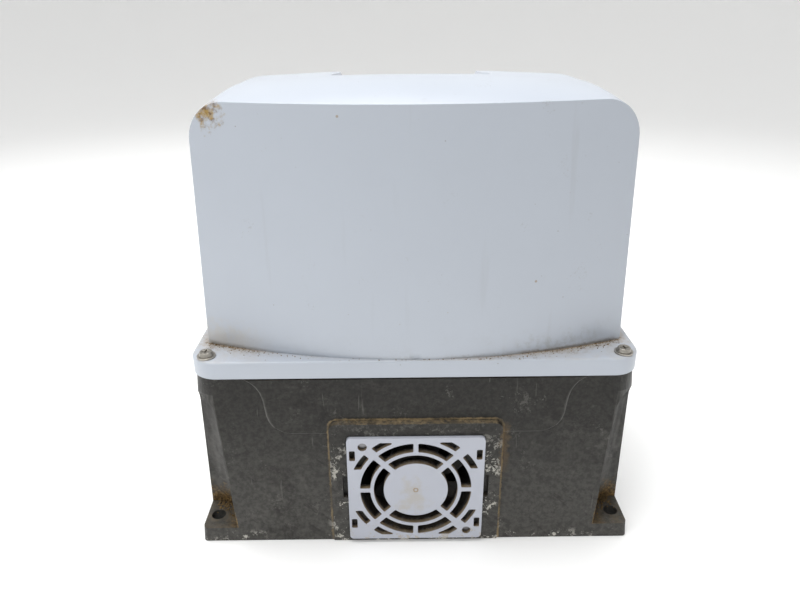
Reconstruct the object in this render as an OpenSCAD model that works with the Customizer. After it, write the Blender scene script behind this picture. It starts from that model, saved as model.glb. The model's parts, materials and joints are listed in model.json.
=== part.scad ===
/* [Base casting] */
// Height of the cast base up to its rim
base_h = 129.2; // [120:0.1:140]
// Width of the base at its rim
base_top_w = 292; // [280:1:300]
// Depth of the base at its rim
base_top_d = 230; // [220:1:240]
// Width of the base at the floor
foot_w = 303; // [300:1:312]
// Depth of the base at the floor
foot_d = 241; // [238:1:250]
// Wall thickness of the casting
base_wall = 6; // [5:0.5:7]
// Thickness of the base's floor
floor_t = 5; // [4:0.5:5.5]
// Distance between the floor bolts, left to right
bolt_pitch_x = 286; // [280:1:288]
// Distance between the floor bolts, back to front
bolt_pitch_y = 212; // [206:1:216]
// Diameter of the floor bolt holes
bolt_d = 10; // [8:0.5:11]
// Thickness of the bolt-down ears
ear_t = 11; // [8:0.5:14]

/* [Hood] */
// Width of the hood's flange
flange_w = 294; // [292:1:300]
// Depth of the hood's flange
flange_d = 232; // [232:1:240]
// Thickness of the hood's flange
flange_t = 12; // [8:0.5:16]
// Corner radius of the flange and the base's rim
rim_r = 18; // [14:0.5:22]
// Height of the hood's rear top edge above the floor
hood_edge_z = 300; // [290:1:320]
// How far the crown rises above that edge
crown_h = 11; // [4:0.5:14]
// Wall thickness of the hood
hood_wall = 3.5; // [3:0.1:4]

/* [Drive] */
// Module of the worm and its wheel
worm_module = 2.5; // [2.5]
// Teeth of the worm wheel
wheel_teeth = 32; // [32]
// Pitch diameter of the worm
worm_pitch_d = 30; // [30]
// Module of the rack pinion
pinion_module = 4; // [3:0.5:4]
// Teeth of the rack pinion
pinion_teeth = 16; // [14:1:17]
// Face width of the rack pinion
pinion_w = 28; // [20:1:30]

/* [Cooling] */
// Size of the square fan
fan_size = 80; // [80]
// Width of the fan grille
grille_w = 92.7; // [90:0.1:94]
// Height of the fan grille
grille_h = 84.9; // [82:0.1:86]

/* [Hidden] */
$fn = 48;
e = 0.01;                    // overlap that makes a cut or a joint clean
gasket_t = 0.8;
flange_z = base_h + gasket_t;
hood_z = flange_z + flange_t;
pad_y = 121.5;               // the upright faces of the pads, front and back
screw_x = 136;
screw_y = 107;
flute_x = 148.5;             // axis of the fluted corners
flute_y = 113.5;
flute_z = 104;
fan_z = 45.8;
fan_hole = 35.75;            // half the pitch of the fan's screws
shaft_x = -45;               // output shaft
shaft_z = 85;
wheel_r = worm_module * wheel_teeth / 2;
worm_r = worm_pitch_d / 2;
worm_x = shaft_x + wheel_r + worm_r;
lead = PI * worm_module;
lead_angle = atan(lead / (PI * worm_pitch_d));
lever_x = 40;                // release lever's shaft
lever_z = 54;
door_x = 58;                 // middle of the release door
door_w = 108;
door_z0 = 22;
door_h = 74;
hinge_y = 129.5;
hinge_z = 17;
lock_x = 92;
lock_z = 76;
limit_x = -108;              // limit switch, its lever's pivot and its height
limit_z = 92;
limit_y = 146;
board_y = -72;

// ---- shared shapes ----
module corners(x, y) for (sx = [-1, 1], sy = [-1, 1]) translate([sx * x, sy * y, 0]) children();
module round_rect(w, d, r) {
    square([w - 2 * r, d], center = true);
    square([w, d - 2 * r], center = true);
    corners(w / 2 - r, d / 2 - r) circle(r);
}
module plate(w, d, h, r) linear_extrude(h) round_rect(w, d, r);
// a shape drawn in X and Z, made h thick from y0 towards +Y
module upright(y0, h) translate([0, y0 + h, 0]) rotate([90, 0, 0]) linear_extrude(h) children();
// a cylinder along Y
module ycyl(x, z, y0, y1, r) translate([x, y0, z]) rotate([-90, 0, 0]) cylinder(r = r, h = y1 - y0);
module ytube(x, z, y0, y1, r, bore) difference() {
    ycyl(x, z, y0, y1, r);
    ycyl(x, z, y0 - 1, y1 + 1, bore);
}
module ztube(h, r, bore) difference() {
    cylinder(r = r, h = h);
    translate([0, 0, -1]) cylinder(r = bore, h = h + 2);
}
module slab(w, d, z, r) translate([0, 0, z]) linear_extrude(e, $fn = 32) round_rect(w, d, r);
module box(lo, hi) translate(lo) cube([for (i = [0:2]) hi[i] - lo[i]]);

// ---- base ----
module flute_core(extra) translate([0, 0, ear_t]) cylinder(r1 = 23 + extra, r2 = 16 + extra, h = flute_z - ear_t);
module flutes() corners(flute_x, flute_y) {
    flute_core(0);
    translate([0, 0, flute_z - 2]) sphere(r = 16.05);
}
module pillars() corners(flute_x, flute_y) {
    translate([0, 0, -10]) cylinder(r = 28, h = ear_t + 10 + e);
    flute_core(5);
    translate([0, 0, flute_z - e]) cylinder(r = 21, h = 40);
}
module cavity() difference() {
    hull() {
        slab(base_top_w - 2 * base_wall, base_top_d - 2 * base_wall, base_h + 1, rim_r - base_wall);
        slab(foot_w - 2 * base_wall - 1, foot_d - 2 * base_wall - 1, floor_t, 6);
    }
    pillars();
}
module wall_block() hull() {
    slab(base_top_w, base_top_d, base_h - e, rim_r);
    slab(foot_w, foot_d, 0, 3);
}
module fan_pads() {
    upright(-pad_y, 8) translate([0, 49]) round_rect(116, 98, 6);
    translate([-58, -pad_y, 0]) cube([116, 8, 12]);
    box([-43, -116, floor_t - e], [43, -110, 89]);
}
module front_pads() {
    upright(pad_y - 9, 9) {
        translate([door_x, 57]) round_rect(114, 86, 5);
        translate([limit_x + 8, limit_z]) round_rect(60, 34, 4);
        translate([shaft_x, shaft_z]) circle(36);
    }
    for (x = [door_x - 30, door_x + 24]) box([x, pad_y - e, hinge_z - 4], [x + 6, hinge_y + 4, hinge_z + 4]);
}
module base_housing() color([0.21, 0.21, 0.20]) difference() {
    union() {
        difference() {
            wall_block();
            cavity();
        }
        fan_pads();
        front_pads();
        for (x = [-80, 45], y = [-20, 46]) translate([x, y, floor_t - e]) cylinder(r = 9, h = 5);
    }
    flutes();
    corners(bolt_pitch_x / 2, bolt_pitch_y / 2) translate([0, 0, -1]) cylinder(d = bolt_d, h = ear_t + 2);
    corners(screw_x, screw_y) translate([0, 0, base_h - 12]) cylinder(r = 2.1, h = 13);
    ycyl(0, fan_z, -130, -100, 38.2);
    upright(-130, 130 - pad_y + 2.5) translate([0, fan_z]) round_rect(grille_w + 0.8, grille_h + 0.8, 3);
    for (s = [-1, 1]) {
        ycyl(s * -fan_hole, fan_z + s * fan_hole, -130, -100, 2.2);
        box([s * 45 - 5, -130, 38], [s * 45 + 5, -117.5, 56]);
    }
    ycyl(shaft_x, shaft_z, 100, 130, 27.2);
    upright(100, 30) translate([door_x, 58]) square([92.4, 64.4], center = true);
    box([lock_x - 17, 112.5, 84], [lock_x + 8, 118.3, 96.8]);
    translate([0, hinge_y, hinge_z]) rotate([0, 90, 0]) cylinder(r = 1.5, h = 200);
    translate([105, 60, -1]) cylinder(r = 16, h = 20);
    for (x = [-80, 45], y = [-20, 46]) translate([x, y, -1]) {
        cylinder(r = 6.3, h = 6, $fn = 6);
        cylinder(r = 3.2, h = 20);
    }
    translate([0, 0, -e]) linear_extrude(1) difference() {
        round_rect(250, 190, 6);
        round_rect(238, 178, 6);
    }
}
module rim_gasket() color([0.05, 0.05, 0.05]) translate([0, 0, base_h]) difference() {
    plate(base_top_w - 3, base_top_d - 3, gasket_t, rim_r - 1.5);
    translate([0, 0, -1]) difference() {
        plate(base_top_w - 11, base_top_d - 11, gasket_t + 2, rim_r - 5.5);
        corners(screw_x, screw_y) cylinder(r = 6, h = 4);
    }
    translate([0, 0, -1]) corners(screw_x, screw_y) cylinder(r = 2.6, h = 4);
}
module cable_grommet() color([0.06, 0.06, 0.06]) translate([105, 60, 0.5]) difference() {
    union() {
        cylinder(r = 15.9, h = 12);
        translate([0, 0, floor_t - 0.4]) cylinder(r = 20, h = 3);
    }
    translate([0, 0, -1]) cylinder(r = 12, h = 20);
}

// ---- fan ----
module slot_ring(r0, r1) difference() {
    circle(r1);
    circle(r0);
}
module spokes(w, angles) for (a = angles) rotate(a) translate([0, -w / 2]) square([60, w]);
module grille_slots() {
    difference() {
        slot_ring(22, 28.8);
        spokes(4, [45, 135, 225, 315]);
    }
    difference() {
        slot_ring(31.2, 38.2);
        spokes(4, [45, 135, 225, 315]);
        spokes(3.2, [0, 90, 180, 270]);
    }
    intersection() {
        difference() {
            slot_ring(41, 45.7);
            spokes(7, [45, 135, 225, 315]);
            spokes(35, [0, 180]);
            spokes(32, [90, 270]);
        }
        square([84, 78], center = true);
    }
    for (s = [-1, 1]) translate([s * -fan_hole, s * fan_hole]) circle(3.1);
    for (sx = [-1, 1], sy = [-1, 1]) translate([sx * 42.8, sy * 28.7]) square([4, 8], center = true);
}
module fan_grille() color([0.66, 0.69, 0.76]) upright(-pad_y - 2.4, 4.8) translate([0, fan_z]) difference() {
    round_rect(grille_w, grille_h, 3);
    grille_slots();
}
module fan_frame() color([0.07, 0.07, 0.07]) {
    difference() {
        upright(-109.9, 25) translate([0, fan_z]) round_rect(fan_size, fan_size, 4);
        ycyl(0, fan_z, -120, -80, 38);
        for (sx = [-1, 1], sy = [-1, 1]) ycyl(sx * fan_hole, fan_z + sy * fan_hole, -120, -80, 2.2);
    }
    ycyl(0, fan_z, -89, -84.9, 18);
    ycyl(0, fan_z, -104, -88, 2);
    intersection() {
        upright(-88, 3) translate([0, fan_z]) spokes(5, [45, 135, 225, 315]);
        ycyl(0, fan_z, -90, -80, 38.5);
    }
}
module fan_rotor() color([0.09, 0.09, 0.09]) translate([0, -99.5, fan_z]) rotate([90, 0, 0]) difference() {
    union() {
        cylinder(r = 17, h = 18, center = true);
        intersection() {
            for (k = [0:6]) rotate(k * 360 / 7) rotate([35, 0, 0]) translate([10, -12, -0.9]) cube([30, 24, 1.8]);
            cylinder(r = 36.5, h = 15, center = true);
        }
    }
    translate([0, 0, -20]) cylinder(r = 2.06, h = 26);
}
module fan_screws() color([0.55, 0.55, 0.55]) for (s = [-1, 1]) {
    ycyl(s * -fan_hole, fan_z + s * fan_hole, -119.1, -86, 2);
    ycyl(s * -fan_hole, fan_z + s * fan_hole, -121.5, -119.05, 3);
}

// ---- gearbox ----
module gearbox_shape(w, h) translate([-17.5, 82.5]) round_rect(w, h, 8);
module gearbox_housing() color([0.62, 0.63, 0.64]) difference() {
    union() {
        upright(-34, 96) gearbox_shape(155, 97);
        for (x = [-80, 45], y = [-20, 46]) translate([x, y, floor_t + 5]) cylinder(r = 9, h = 30);
        ycyl(shaft_x, shaft_z, -44, -30, 28);
    }
    difference() {
        upright(-28, 91) gearbox_shape(143, 91);
        translate([worm_x, 0, 34]) cylinder(r = 22, h = 20);
        translate([worm_x, 0, 119]) cylinder(r = 22, h = 20);
    }
    translate([worm_x, 0, 42]) cylinder(r = 16, h = 20);
    translate([worm_x, 0, 110]) cylinder(r = 16, h = 30);
    ycyl(shaft_x, shaft_z, -42, -20, 21);
}
module gearbox_front_plate() color([0.58, 0.59, 0.60]) difference() {
    union() {
        upright(62.1, 8) gearbox_shape(155, 97);
        ycyl(shaft_x, shaft_z, 60, 119, 27);
    }
    ycyl(shaft_x, shaft_z, 50, 94, 14);
    ycyl(shaft_x, shaft_z, 94 - e, 130, 21);
    ycyl(lever_x, lever_z, 50, 90, 5.05);
    for (x = [-87, 52], z = [42, 123]) ycyl(x, z, 50, 90, 2.6);
}
module gearbox_screws() color([0.7, 0.7, 0.7]) for (x = [-87, 52], z = [42, 123]) {
    ycyl(x, z, 62.1, 70.1, 2.5);
    ycyl(x, z, 70.1, 74.6, 4.5);
}
module gearbox_feet_bolts() color([0.7, 0.7, 0.7]) for (x = [-80, 45], y = [-20, 46]) translate([x, y, 0]) {
    translate([0, 0, 1]) cylinder(r = 6, h = 3.95, $fn = 6);
    translate([0, 0, 4]) cylinder(r = 3, h = 5.95);
}
module bearing(w, r, bore) {
    ztube(w, r, r - 3);
    ztube(w, bore + 2.6, bore);
    translate([0, 0, 1]) ztube(w - 2, r - 3, bore + 2.6);
}
module worm_bearings() color([0.75, 0.75, 0.77]) for (z = [42, 121]) translate([worm_x, 0, z]) bearing(10, 16, 8.05);
module shaft_bearings() color([0.75, 0.75, 0.77]) for (y = [-42, 94])
    translate([shaft_x, y, shaft_z]) rotate([-90, 0, 0]) bearing(12, 21, 12.05);
module shaft_seal() color([0.10, 0.07, 0.06]) ytube(shaft_x, shaft_z, 108, 117.5, 21, 12.06);

// the thread is one closed band of four-sided sections carried round the helix
function worm_section(a, turn_z) = [for (p = [[11, -2.6], [17.4, -0.85], [17.4, 0.85], [11, 2.6]])
    [p[0] * cos(a), p[0] * sin(a), turn_z + p[1]]];
module worm_thread(turns) {
    n = round(turns * 20);
    pts = [for (i = [0:n]) each worm_section(i * 18, (i / 20 - turns / 2) * lead)];
    sides = [for (i = [0:n - 1], k = [0:3]) [i * 4 + k, i * 4 + (k + 1) % 4, (i + 1) * 4 + (k + 1) % 4, (i + 1) * 4 + k]];
    polyhedron(pts, concat([[3, 2, 1, 0]], sides, [[n * 4, n * 4 + 1, n * 4 + 2, n * 4 + 3]]));
}
module worm() color([0.5, 0.5, 0.52]) translate([worm_x, 0, shaft_z]) difference() {
    union() {
        worm_thread(5);
        cylinder(r = 11.8, h = 52, center = true);
    }
    cylinder(r = 8, h = 60, center = true);
}
module wheel_tooth() rotate([-lead_angle, 0, 0]) rotate([90, 0, 0]) linear_extrude(20, center = true)
    polygon([[34, -3.1], [wheel_r, -1.6], [wheel_r + 2.3, -0.8], [wheel_r + 2.3, 0.8], [wheel_r, 1.6], [34, 3.1]]);
module dogs(y0, y1, start) for (k = [0:3]) rotate([0, start + k * 90, 0]) translate([13.5, y0, -4]) cube([9, y1 - y0, 8]);
module worm_wheel() color([0.78, 0.58, 0.28]) translate([shaft_x, 0, shaft_z]) difference() {
    union() {
        for (k = [0:wheel_teeth - 1]) rotate([0, (k + 0.5) * 360 / wheel_teeth, 0]) wheel_tooth();
        ycyl(0, 0, -10, 10, wheel_r - worm_module * 1.3);
        dogs(9, 15, 0);
    }
    ycyl(0, 0, -20, 30, 13.4);
    for (k = [0:5]) rotate([0, k * 60 + 15, 0]) ycyl(29, 0, -20, 9.9, 4);
}
module wheel_bush() color([0.72, 0.5, 0.22]) ytube(shaft_x, shaft_z, -10, 10, 13.4, 12.05);
module output_shaft() color([0.6, 0.6, 0.62]) translate([shaft_x, 0, shaft_z]) difference() {
    union() {
        ycyl(0, 0, -41.8, 155, 12);
        translate([-3, 16, 0]) cube([6, 36, 15]);
    }
    ycyl(0, 0, 140, 160, 3.3);
}
module clutch_ring() color([0.5, 0.5, 0.53]) translate([shaft_x, 0, shaft_z]) difference() {
    union() {
        ycyl(0, 0, 15.3, 36, 24);
        dogs(10.3, 16, 45);
    }
    ycyl(0, 0, 0, 50, 12.06);
    translate([-3.1, 0, 0]) cube([6.2, 50, 15.1]);
    ytube(0, 0, 23.5, 29.5, 30, 18);
}
module clutch_fork() color([0.45, 0.45, 0.42]) difference() {
    upright(24, 5) {
        translate([shaft_x, shaft_z]) circle(31);
        translate([lever_x, lever_z]) circle(13);
        translate([shaft_x, shaft_z]) rotate(-20.04) translate([24, -5]) square([54.5, 10]);
    }
    ycyl(shaft_x, shaft_z, 20, 40, 18.5);
    translate([shaft_x, 20, shaft_z]) rotate([0, 20, 0]) translate([-40, 0, -40]) cube([40, 20, 80]);
    ycyl(lever_x, lever_z, 20, 40, 8.3);
}

// ---- pinion ----
function tooth(m, z, k) = let (a = 360 / z, r = m * z / 2)
    [for (p = [[r - 1.25 * m, -0.36], [r - 0.3 * m, -0.28], [r + m, -0.12], [r + m, 0.12], [r - 0.3 * m, 0.28], [r - 1.25 * m, 0.36]])
        p[0] * [cos(a * (k + p[1])), sin(a * (k + p[1]))]];
module drive_pinion() color([0.42, 0.42, 0.43]) difference() {
    union() {
        upright(126, pinion_w) translate([shaft_x, shaft_z])
            polygon([for (k = [0:pinion_teeth - 1]) each tooth(pinion_module, pinion_teeth, k)]);
        ycyl(shaft_x, shaft_z, 121, 126 + e, 20);
    }
    ycyl(shaft_x, shaft_z, 110, 160, 12.02);
}
module pinion_washer() color([0.7, 0.7, 0.7]) ytube(shaft_x, shaft_z, 155.05, 158, 15, 3.3);
module pinion_bolt() color([0.65, 0.65, 0.67]) {
    ycyl(shaft_x, shaft_z, 141, 158, 3.25);
    translate([shaft_x, 158, shaft_z]) rotate([-90, 0, 0]) cylinder(r = 7, h = 5, $fn = 6);
}

// ---- motor ----
module motor_lower_bell() color([0.55, 0.56, 0.57]) translate([worm_x, 0, 131.1]) difference() {
    cylinder(r = 55, h = 20);
    translate([0, 0, 4]) cylinder(r = 48, h = 30);
    translate([0, 0, -1]) cylinder(r = 9, h = 30);
    for (k = [0:7]) rotate(k * 45 + 22.5) translate([40, -8, 6]) cube([30, 16, 9]);
}
module motor_upper_bell() color([0.55, 0.56, 0.57]) translate([worm_x, 0, 210.2]) difference() {
    union() {
        cylinder(r = 55, h = 20);
        cylinder(r = 18, h = 28);
    }
    translate([0, 0, -1]) cylinder(r = 48, h = 16);
    translate([0, 0, -1]) cylinder(r = 8.05, h = 40);
    for (k = [0:7]) rotate(k * 45 + 22.5) translate([40, -8, 4]) cube([30, 16, 9]);
}
module motor_stator() color([0.38, 0.39, 0.40]) translate([worm_x, 0, 151.2]) difference() {
    cylinder(r = 54, h = 58.9);
    translate([0, 0, -1]) cylinder(r = 30.4, h = 70);
    for (k = [0:3]) rotate(k * 90 + 45) translate([50, 0, -1]) cylinder(r = 2.6, h = 70);
}
module motor_windings() color([0.72, 0.38, 0.16]) for (z = [137, 210.2]) translate([worm_x, 0, z]) ztube(14, 46, 31);
module motor_tie_bolts() color([0.7, 0.7, 0.7]) for (k = [0:3]) translate([worm_x, 0, 0]) rotate(k * 90 + 45) translate([50, 0, 0]) {
    translate([0, 0, 151.3]) cylinder(r = 2.5, h = 58.7);
    translate([0, 0, 230.3]) cylinder(r = 4.5, h = 4, $fn = 6);
}
module motor_shaft() color([0.65, 0.65, 0.67]) translate([worm_x, 0, 42.2]) cylinder(r = 8, h = 203.3);
module motor_rotor() color([0.46, 0.47, 0.5]) translate([worm_x, 0, 150]) difference() {
    cylinder(r = 29.6, h = 61);
    translate([0, 0, -1]) cylinder(r = 8, h = 70);
}

// ---- electrics ----
module run_capacitor() color([0.86, 0.86, 0.84]) translate([-117, 10, floor_t + 0.1]) {
    cylinder(r = 20, h = 82);
    for (s = [-1, 1]) translate([s * 8 - 1, -3, 81.9]) cube([2, 6, 9]);
}
module capacitor_clamp() color([0.12, 0.12, 0.12]) translate([-117, 10, 40]) difference() {
    union() {
        cylinder(r = 21.8, h = 12);
        translate([-6, -26, 0]) cube([12, 12, 12]);
    }
    translate([0, 0, -1]) cylinder(r = 20.02, h = 20);
}
module transformer_core() color([0.34, 0.35, 0.37]) box([84, -50, floor_t + 0.1], [132, 16, 62]);
module transformer_coils() color([0.72, 0.66, 0.2]) for (y = [-62, 16.1]) box([90, y, 16], [126, y + 11.9, 52]);
module board_tray() color([0.15, 0.15, 0.15]) {
    box([-108, -70, 150], [108, -67, 270]);
    for (x = [-101, 89]) box([x, -70, floor_t + 0.1], [x + 12, -64, 151]);
    for (x = [-96, 96], z = [166, 259]) ycyl(x, z, board_y, -69, 3);
}
module control_board() color([0.1, 0.36, 0.2]) box([-102, board_y - 1.6, 160], [102, board_y - 0.01, 265]);
module relays() color([0.1, 0.16, 0.4]) for (k = [0:2]) translate([-92 + k * 22, board_y - 17.6, 222]) cube([19, 15.9, 15]);
module terminal_blocks() color([0.25, 0.5, 0.32]) for (k = [0:3]) translate([-94 + k * 48, board_y - 13.6, 164]) difference() {
    cube([42, 11.9, 13]);
    for (i = [0:4]) translate([3 + i * 8, -1, 3]) cube([4, 8, 4]);
}
module board_capacitors() color([0.15, 0.15, 0.18]) for (k = [0:2]) ycyl(-10 + k * 17, 238, board_y - 19, board_y - 1.7, 6.5);
module fuses() color([0.82, 0.82, 0.78]) for (z = [232, 246]) {
    translate([44, board_y - 6.6, z]) rotate([0, 90, 0]) cylinder(r = 2.6, h = 20);
    for (x = [42, 60]) translate([x, board_y - 9.6, z - 3.2]) cube([4.5, 7.9, 6.4]);
}
module board_chips() color([0.06, 0.06, 0.07]) {
    translate([-20, board_y - 4.6, 194]) cube([34, 2.9, 10]);
    translate([-20, board_y - 4.6, 208]) cube([12, 2.9, 12]);
    translate([74, board_y - 16.6, 196]) cube([2, 14.9, 40]);
    for (z = [191, 200]) translate([30, board_y - 5.6, z]) cube([6, 3.9, 6]);
    for (x = [46, 60]) difference() {
        translate([x - 3.5, board_y - 6.1, 190]) cube([7, 4.4, 7]);
        ycyl(x, 193.5, board_y - 7, board_y - 3.6, 2.05);
    }
}
module button(x) color([0.75, 0.2, 0.15]) ycyl(x, 193.5, board_y - 8.4, board_y - 4.4, 1.75);
module open_button() button(46);
module close_button() button(60);

// ---- release ----
module release_pocket() color([0.14, 0.14, 0.14]) difference() {
    upright(88, 30) translate([door_x, 58]) square([92, 64], center = true);
    upright(90.5, 40) translate([door_x, 58]) square([87, 59], center = true);
    ycyl(lever_x, lever_z, 80, 100, 5.3);
    box([lock_x - 17, 112.5, 80], [lock_x + 8, 130, 96.8]);
}
module release_shaft() color([0.6, 0.6, 0.62]) {
    ycyl(lever_x, lever_z, 46 - e, 104, 5);
    ycyl(lever_x, lever_z, 16, 46, 8);
}
module release_lever() color([0.75, 0.12, 0.08]) difference() {
    upright(96, 12) {
        translate([lever_x, lever_z]) circle(9);
        translate([lever_x, lever_z - 4.5]) square([24, 9]);
        translate([lever_x + 24, lever_z]) circle(4.5);
    }
    ycyl(lever_x, lever_z, 80, 104, 5);
}
module release_door() color([0.20, 0.20, 0.19]) difference() {
    union() {
        upright(pad_y + 0.4, 5) translate([door_x, door_z0 + door_h / 2]) round_rect(door_w, door_h, 5);
        box([door_x - 23.4, hinge_y - 4, hinge_z], [door_x + 23.4, hinge_y - 2, door_z0 + 4]);
        translate([door_x - 23.4, hinge_y, hinge_z]) rotate([0, 90, 0]) cylinder(r = 4, h = 46.8);
    }
    translate([0, hinge_y, hinge_z]) rotate([0, 90, 0]) cylinder(r = 1.56, h = 200);
    ycyl(lock_x, lock_z, 110, 140, 8.06);
}
module hinge_pin() color([0.7, 0.7, 0.7]) translate([door_x - 31, hinge_y, hinge_z]) rotate([0, 90, 0]) cylinder(r = 1.5, h = 62);
module lock_barrel() color([0.72, 0.7, 0.66]) difference() {
    union() {
        ycyl(lock_x, lock_z, 114, 127.2, 8);
        ycyl(lock_x, lock_z, 127.1, 128.4, 9.5);
        box([lock_x - 18, 114, lock_z - 4], [lock_x, 117, lock_z + 4]);
    }
    box([lock_x - 0.6, 121, lock_z - 4], [lock_x + 0.6, 140, lock_z + 4]);
}

// ---- limit switch ----
module limit_case() color([0.08, 0.08, 0.08]) difference() {
    box([limit_x - 22, pad_y, limit_z - 12], [limit_x + 22, pad_y + 14.5, limit_z + 12]);
    box([limit_x - 20, pad_y + 2, limit_z - 10], [limit_x + 20, pad_y + 20, limit_z + 10]);
}
module limit_lid() color([0.10, 0.10, 0.10]) difference() {
    union() {
        upright(pad_y + 14.6, 2) translate([limit_x, limit_z]) round_rect(44, 24, 2);
        for (z = [-10, 7]) {
            translate([limit_x - 8, pad_y + 16, limit_z + z]) cube([16, limit_y - pad_y - 16, 3]);
            translate([limit_x, limit_y, limit_z + z]) cylinder(r = 8, h = 3);
        }
    }
    translate([limit_x, limit_y, limit_z - 20]) cylinder(r = 2, h = 40);
}
module limit_pin() color([0.7, 0.7, 0.7]) translate([limit_x, limit_y, limit_z - 11]) cylinder(r = 2, h = 22);
module limit_lever() color([0.7, 0.7, 0.72]) translate([limit_x, limit_y, limit_z]) difference() {
    union() {
        translate([0, 0, -6.5]) cylinder(r = 7, h = 13);
        ycyl(0, 0, 5, 26, 4);
        translate([0, 26, 0]) sphere(r = 4.2);
    }
    translate([0, 0, -10]) cylinder(r = 2.06, h = 20);
}
module microswitches() color([0.12, 0.12, 0.13]) for (s = [-1, 1])
    box([limit_x + s * 10 - 9, pad_y + 2.1, limit_z - 4], [limit_x + s * 10 + 9, pad_y + 12, limit_z + 3]);

// ---- hood ----
// A quarter of the plan outline, from the middle of the bowed side round the corner to the middle of the end.
bow = 26.6;
hood_w = 139.5;
function bow_y(ym, b, x) = ym - b * pow(x / hood_w, 2);
function quarter(w, ym, b, r) = let (
        slope = atan(2 * b * w / pow(hood_w, 2)),
        x0 = w - r + r * sin(slope),
        cy = -bow_y(ym, b, x0) + r * cos(slope))
    concat([for (i = [0:8]) [x0 * i / 8, -bow_y(ym, b, x0 * i / 8)]],
        [for (i = [1:5]) let (a = -90 + slope + (90 - slope) * i / 5) [w - r + r * cos(a), cy + r * sin(a)]],
        [[w, cy / 2], [w, 0]]);
function rest(q) = [for (i = [0:len(q) - 2]) q[i]];
function back(q) = [for (i = [len(q) - 1:-1:1]) q[i]];
function outline(q) = concat(rest(q), [for (p = back(q)) [p[0], -p[1]]],
    [for (p = rest(q)) [-p[0], -p[1]]], [for (p = back(q)) [-p[0], p[1]]]);
function at_z(points, z) = [for (p = points) [p[0], p[1], z]];
corner_r = 32;
corner_z = hood_edge_z - 26;
function side_w(z) = hood_w - 3.9 * (z - hood_z) / (hood_edge_z - hood_z);
function mid_y(z) = flange_d / 2 - 2 - 6.3 * (z - hood_z) / (hood_edge_z - hood_z);
function half_w(z) = z <= corner_z ? side_w(z)
    : side_w(corner_z) - corner_r + sqrt(pow(corner_r, 2) - pow(z - corner_z, 2));
function hood_ring(z, t) = at_z(outline(quarter(half_w(z) - t, mid_y(z) - t, bow, 4)), z - (z > corner_z ? t * (z - corner_z) / 26 : 0));
function crown_ring(s, t) = let (ring = hood_ring(hood_edge_z, t))
    [for (p = ring) [p[0] * s, p[1] * s, hood_edge_z - t + crown_h * (1 - pow(s, 4))]];
arc_z = [for (k = [0:4]) corner_z + 26 * sin(k * 22.5)];
crown_s = [0.93, 0.85, 0.7, 0.5, 0.25];
outer_rings = concat(
    [at_z(outline(quarter(flange_w / 2, flange_d / 2, 0, rim_r)), flange_z)],
    [at_z(outline(quarter(flange_w / 2, flange_d / 2, 0, rim_r)), hood_z)],
    [hood_ring(hood_z, 0)], [for (z = arc_z) hood_ring(z, 0)], [for (s = crown_s) crown_ring(s, 0)]);
inner_rings = concat([at_z(outline(quarter(hood_w - hood_wall, mid_y(hood_z) - hood_wall, bow, 4)), flange_z)],
    [for (z = arc_z) hood_ring(z, hood_wall)], [for (s = crown_s) crown_ring(s, hood_wall)]);
module hood_shell() {
    n = len(outer_rings[0]);
    no = len(outer_rings);
    ni = len(inner_rings);
    pts = concat([for (r = outer_rings) each r], [for (r = inner_rings) each r],
        [[0, 0, hood_edge_z + crown_h], [0, 0, hood_edge_z + crown_h - hood_wall]]);
    outer = [for (k = [0:no - 2], i = [0:n - 1]) let (j = (i + 1) % n) [k * n + i, (k + 1) * n + i, (k + 1) * n + j, k * n + j]];
    inner = [for (k = [0:ni - 2], i = [0:n - 1]) let (j = (i + 1) % n, m = no + k) [m * n + j, (m + 1) * n + j, (m + 1) * n + i, m * n + i]];
    tops = [for (i = [0:n - 1]) let (j = (i + 1) % n) [(no - 1) * n + i, (no + ni) * n, (no - 1) * n + j]];
    unders = [for (i = [0:n - 1]) let (j = (i + 1) % n) [(no + ni - 1) * n + j, (no + ni) * n + 1, (no + ni - 1) * n + i]];
    foot = [for (i = [0:n - 1]) let (j = (i + 1) % n) [i, j, no * n + j, no * n + i]];
    polyhedron(pts, concat(outer, inner, tops, unders, foot), convexity = 4);
}
module hood_cover() color([0.70, 0.73, 0.79]) difference() {
    hood_shell();
    corners(screw_x, screw_y) translate([0, 0, flange_z - 1]) cylinder(r = 2.8, h = 20);
}
module hood_fascia() color([0.24, 0.26, 0.30]) translate([0, mid_y(hood_z), hood_z]) rotate([2.284, 0, 0]) difference() {
    upright(-6, 8.2) translate([0, 75]) round_rect(124, 84, 10);
    translate([0, -372.3 + 0.35, 0]) cylinder(r = 372.3, h = 400, center = true, $fn = 200);
    difference() {
        cube([400, 100, 400], center = true);
        translate([0, -372.3 + 2, 0]) cylinder(r = 372.3, h = 420, center = true, $fn = 200);
    }
}
module hood_screws() color([0.62, 0.6, 0.56]) corners(screw_x, screw_y) translate([0, 0, hood_z]) {
    translate([0, 0, -22]) cylinder(r = 2, h = 24);
    translate([0, 0, 1.3]) difference() {
        cylinder(r1 = 4.8, r2 = 4, h = 2.6);
        for (a = [0, 90]) rotate(a) translate([-2.6, -0.5, 1.2]) cube([5.2, 1, 3]);
    }
}
module hood_washers() color([0.6, 0.58, 0.54]) corners(screw_x, screw_y) translate([0, 0, hood_z + 0.05]) ztube(1.2, 6, 2.4);

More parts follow.
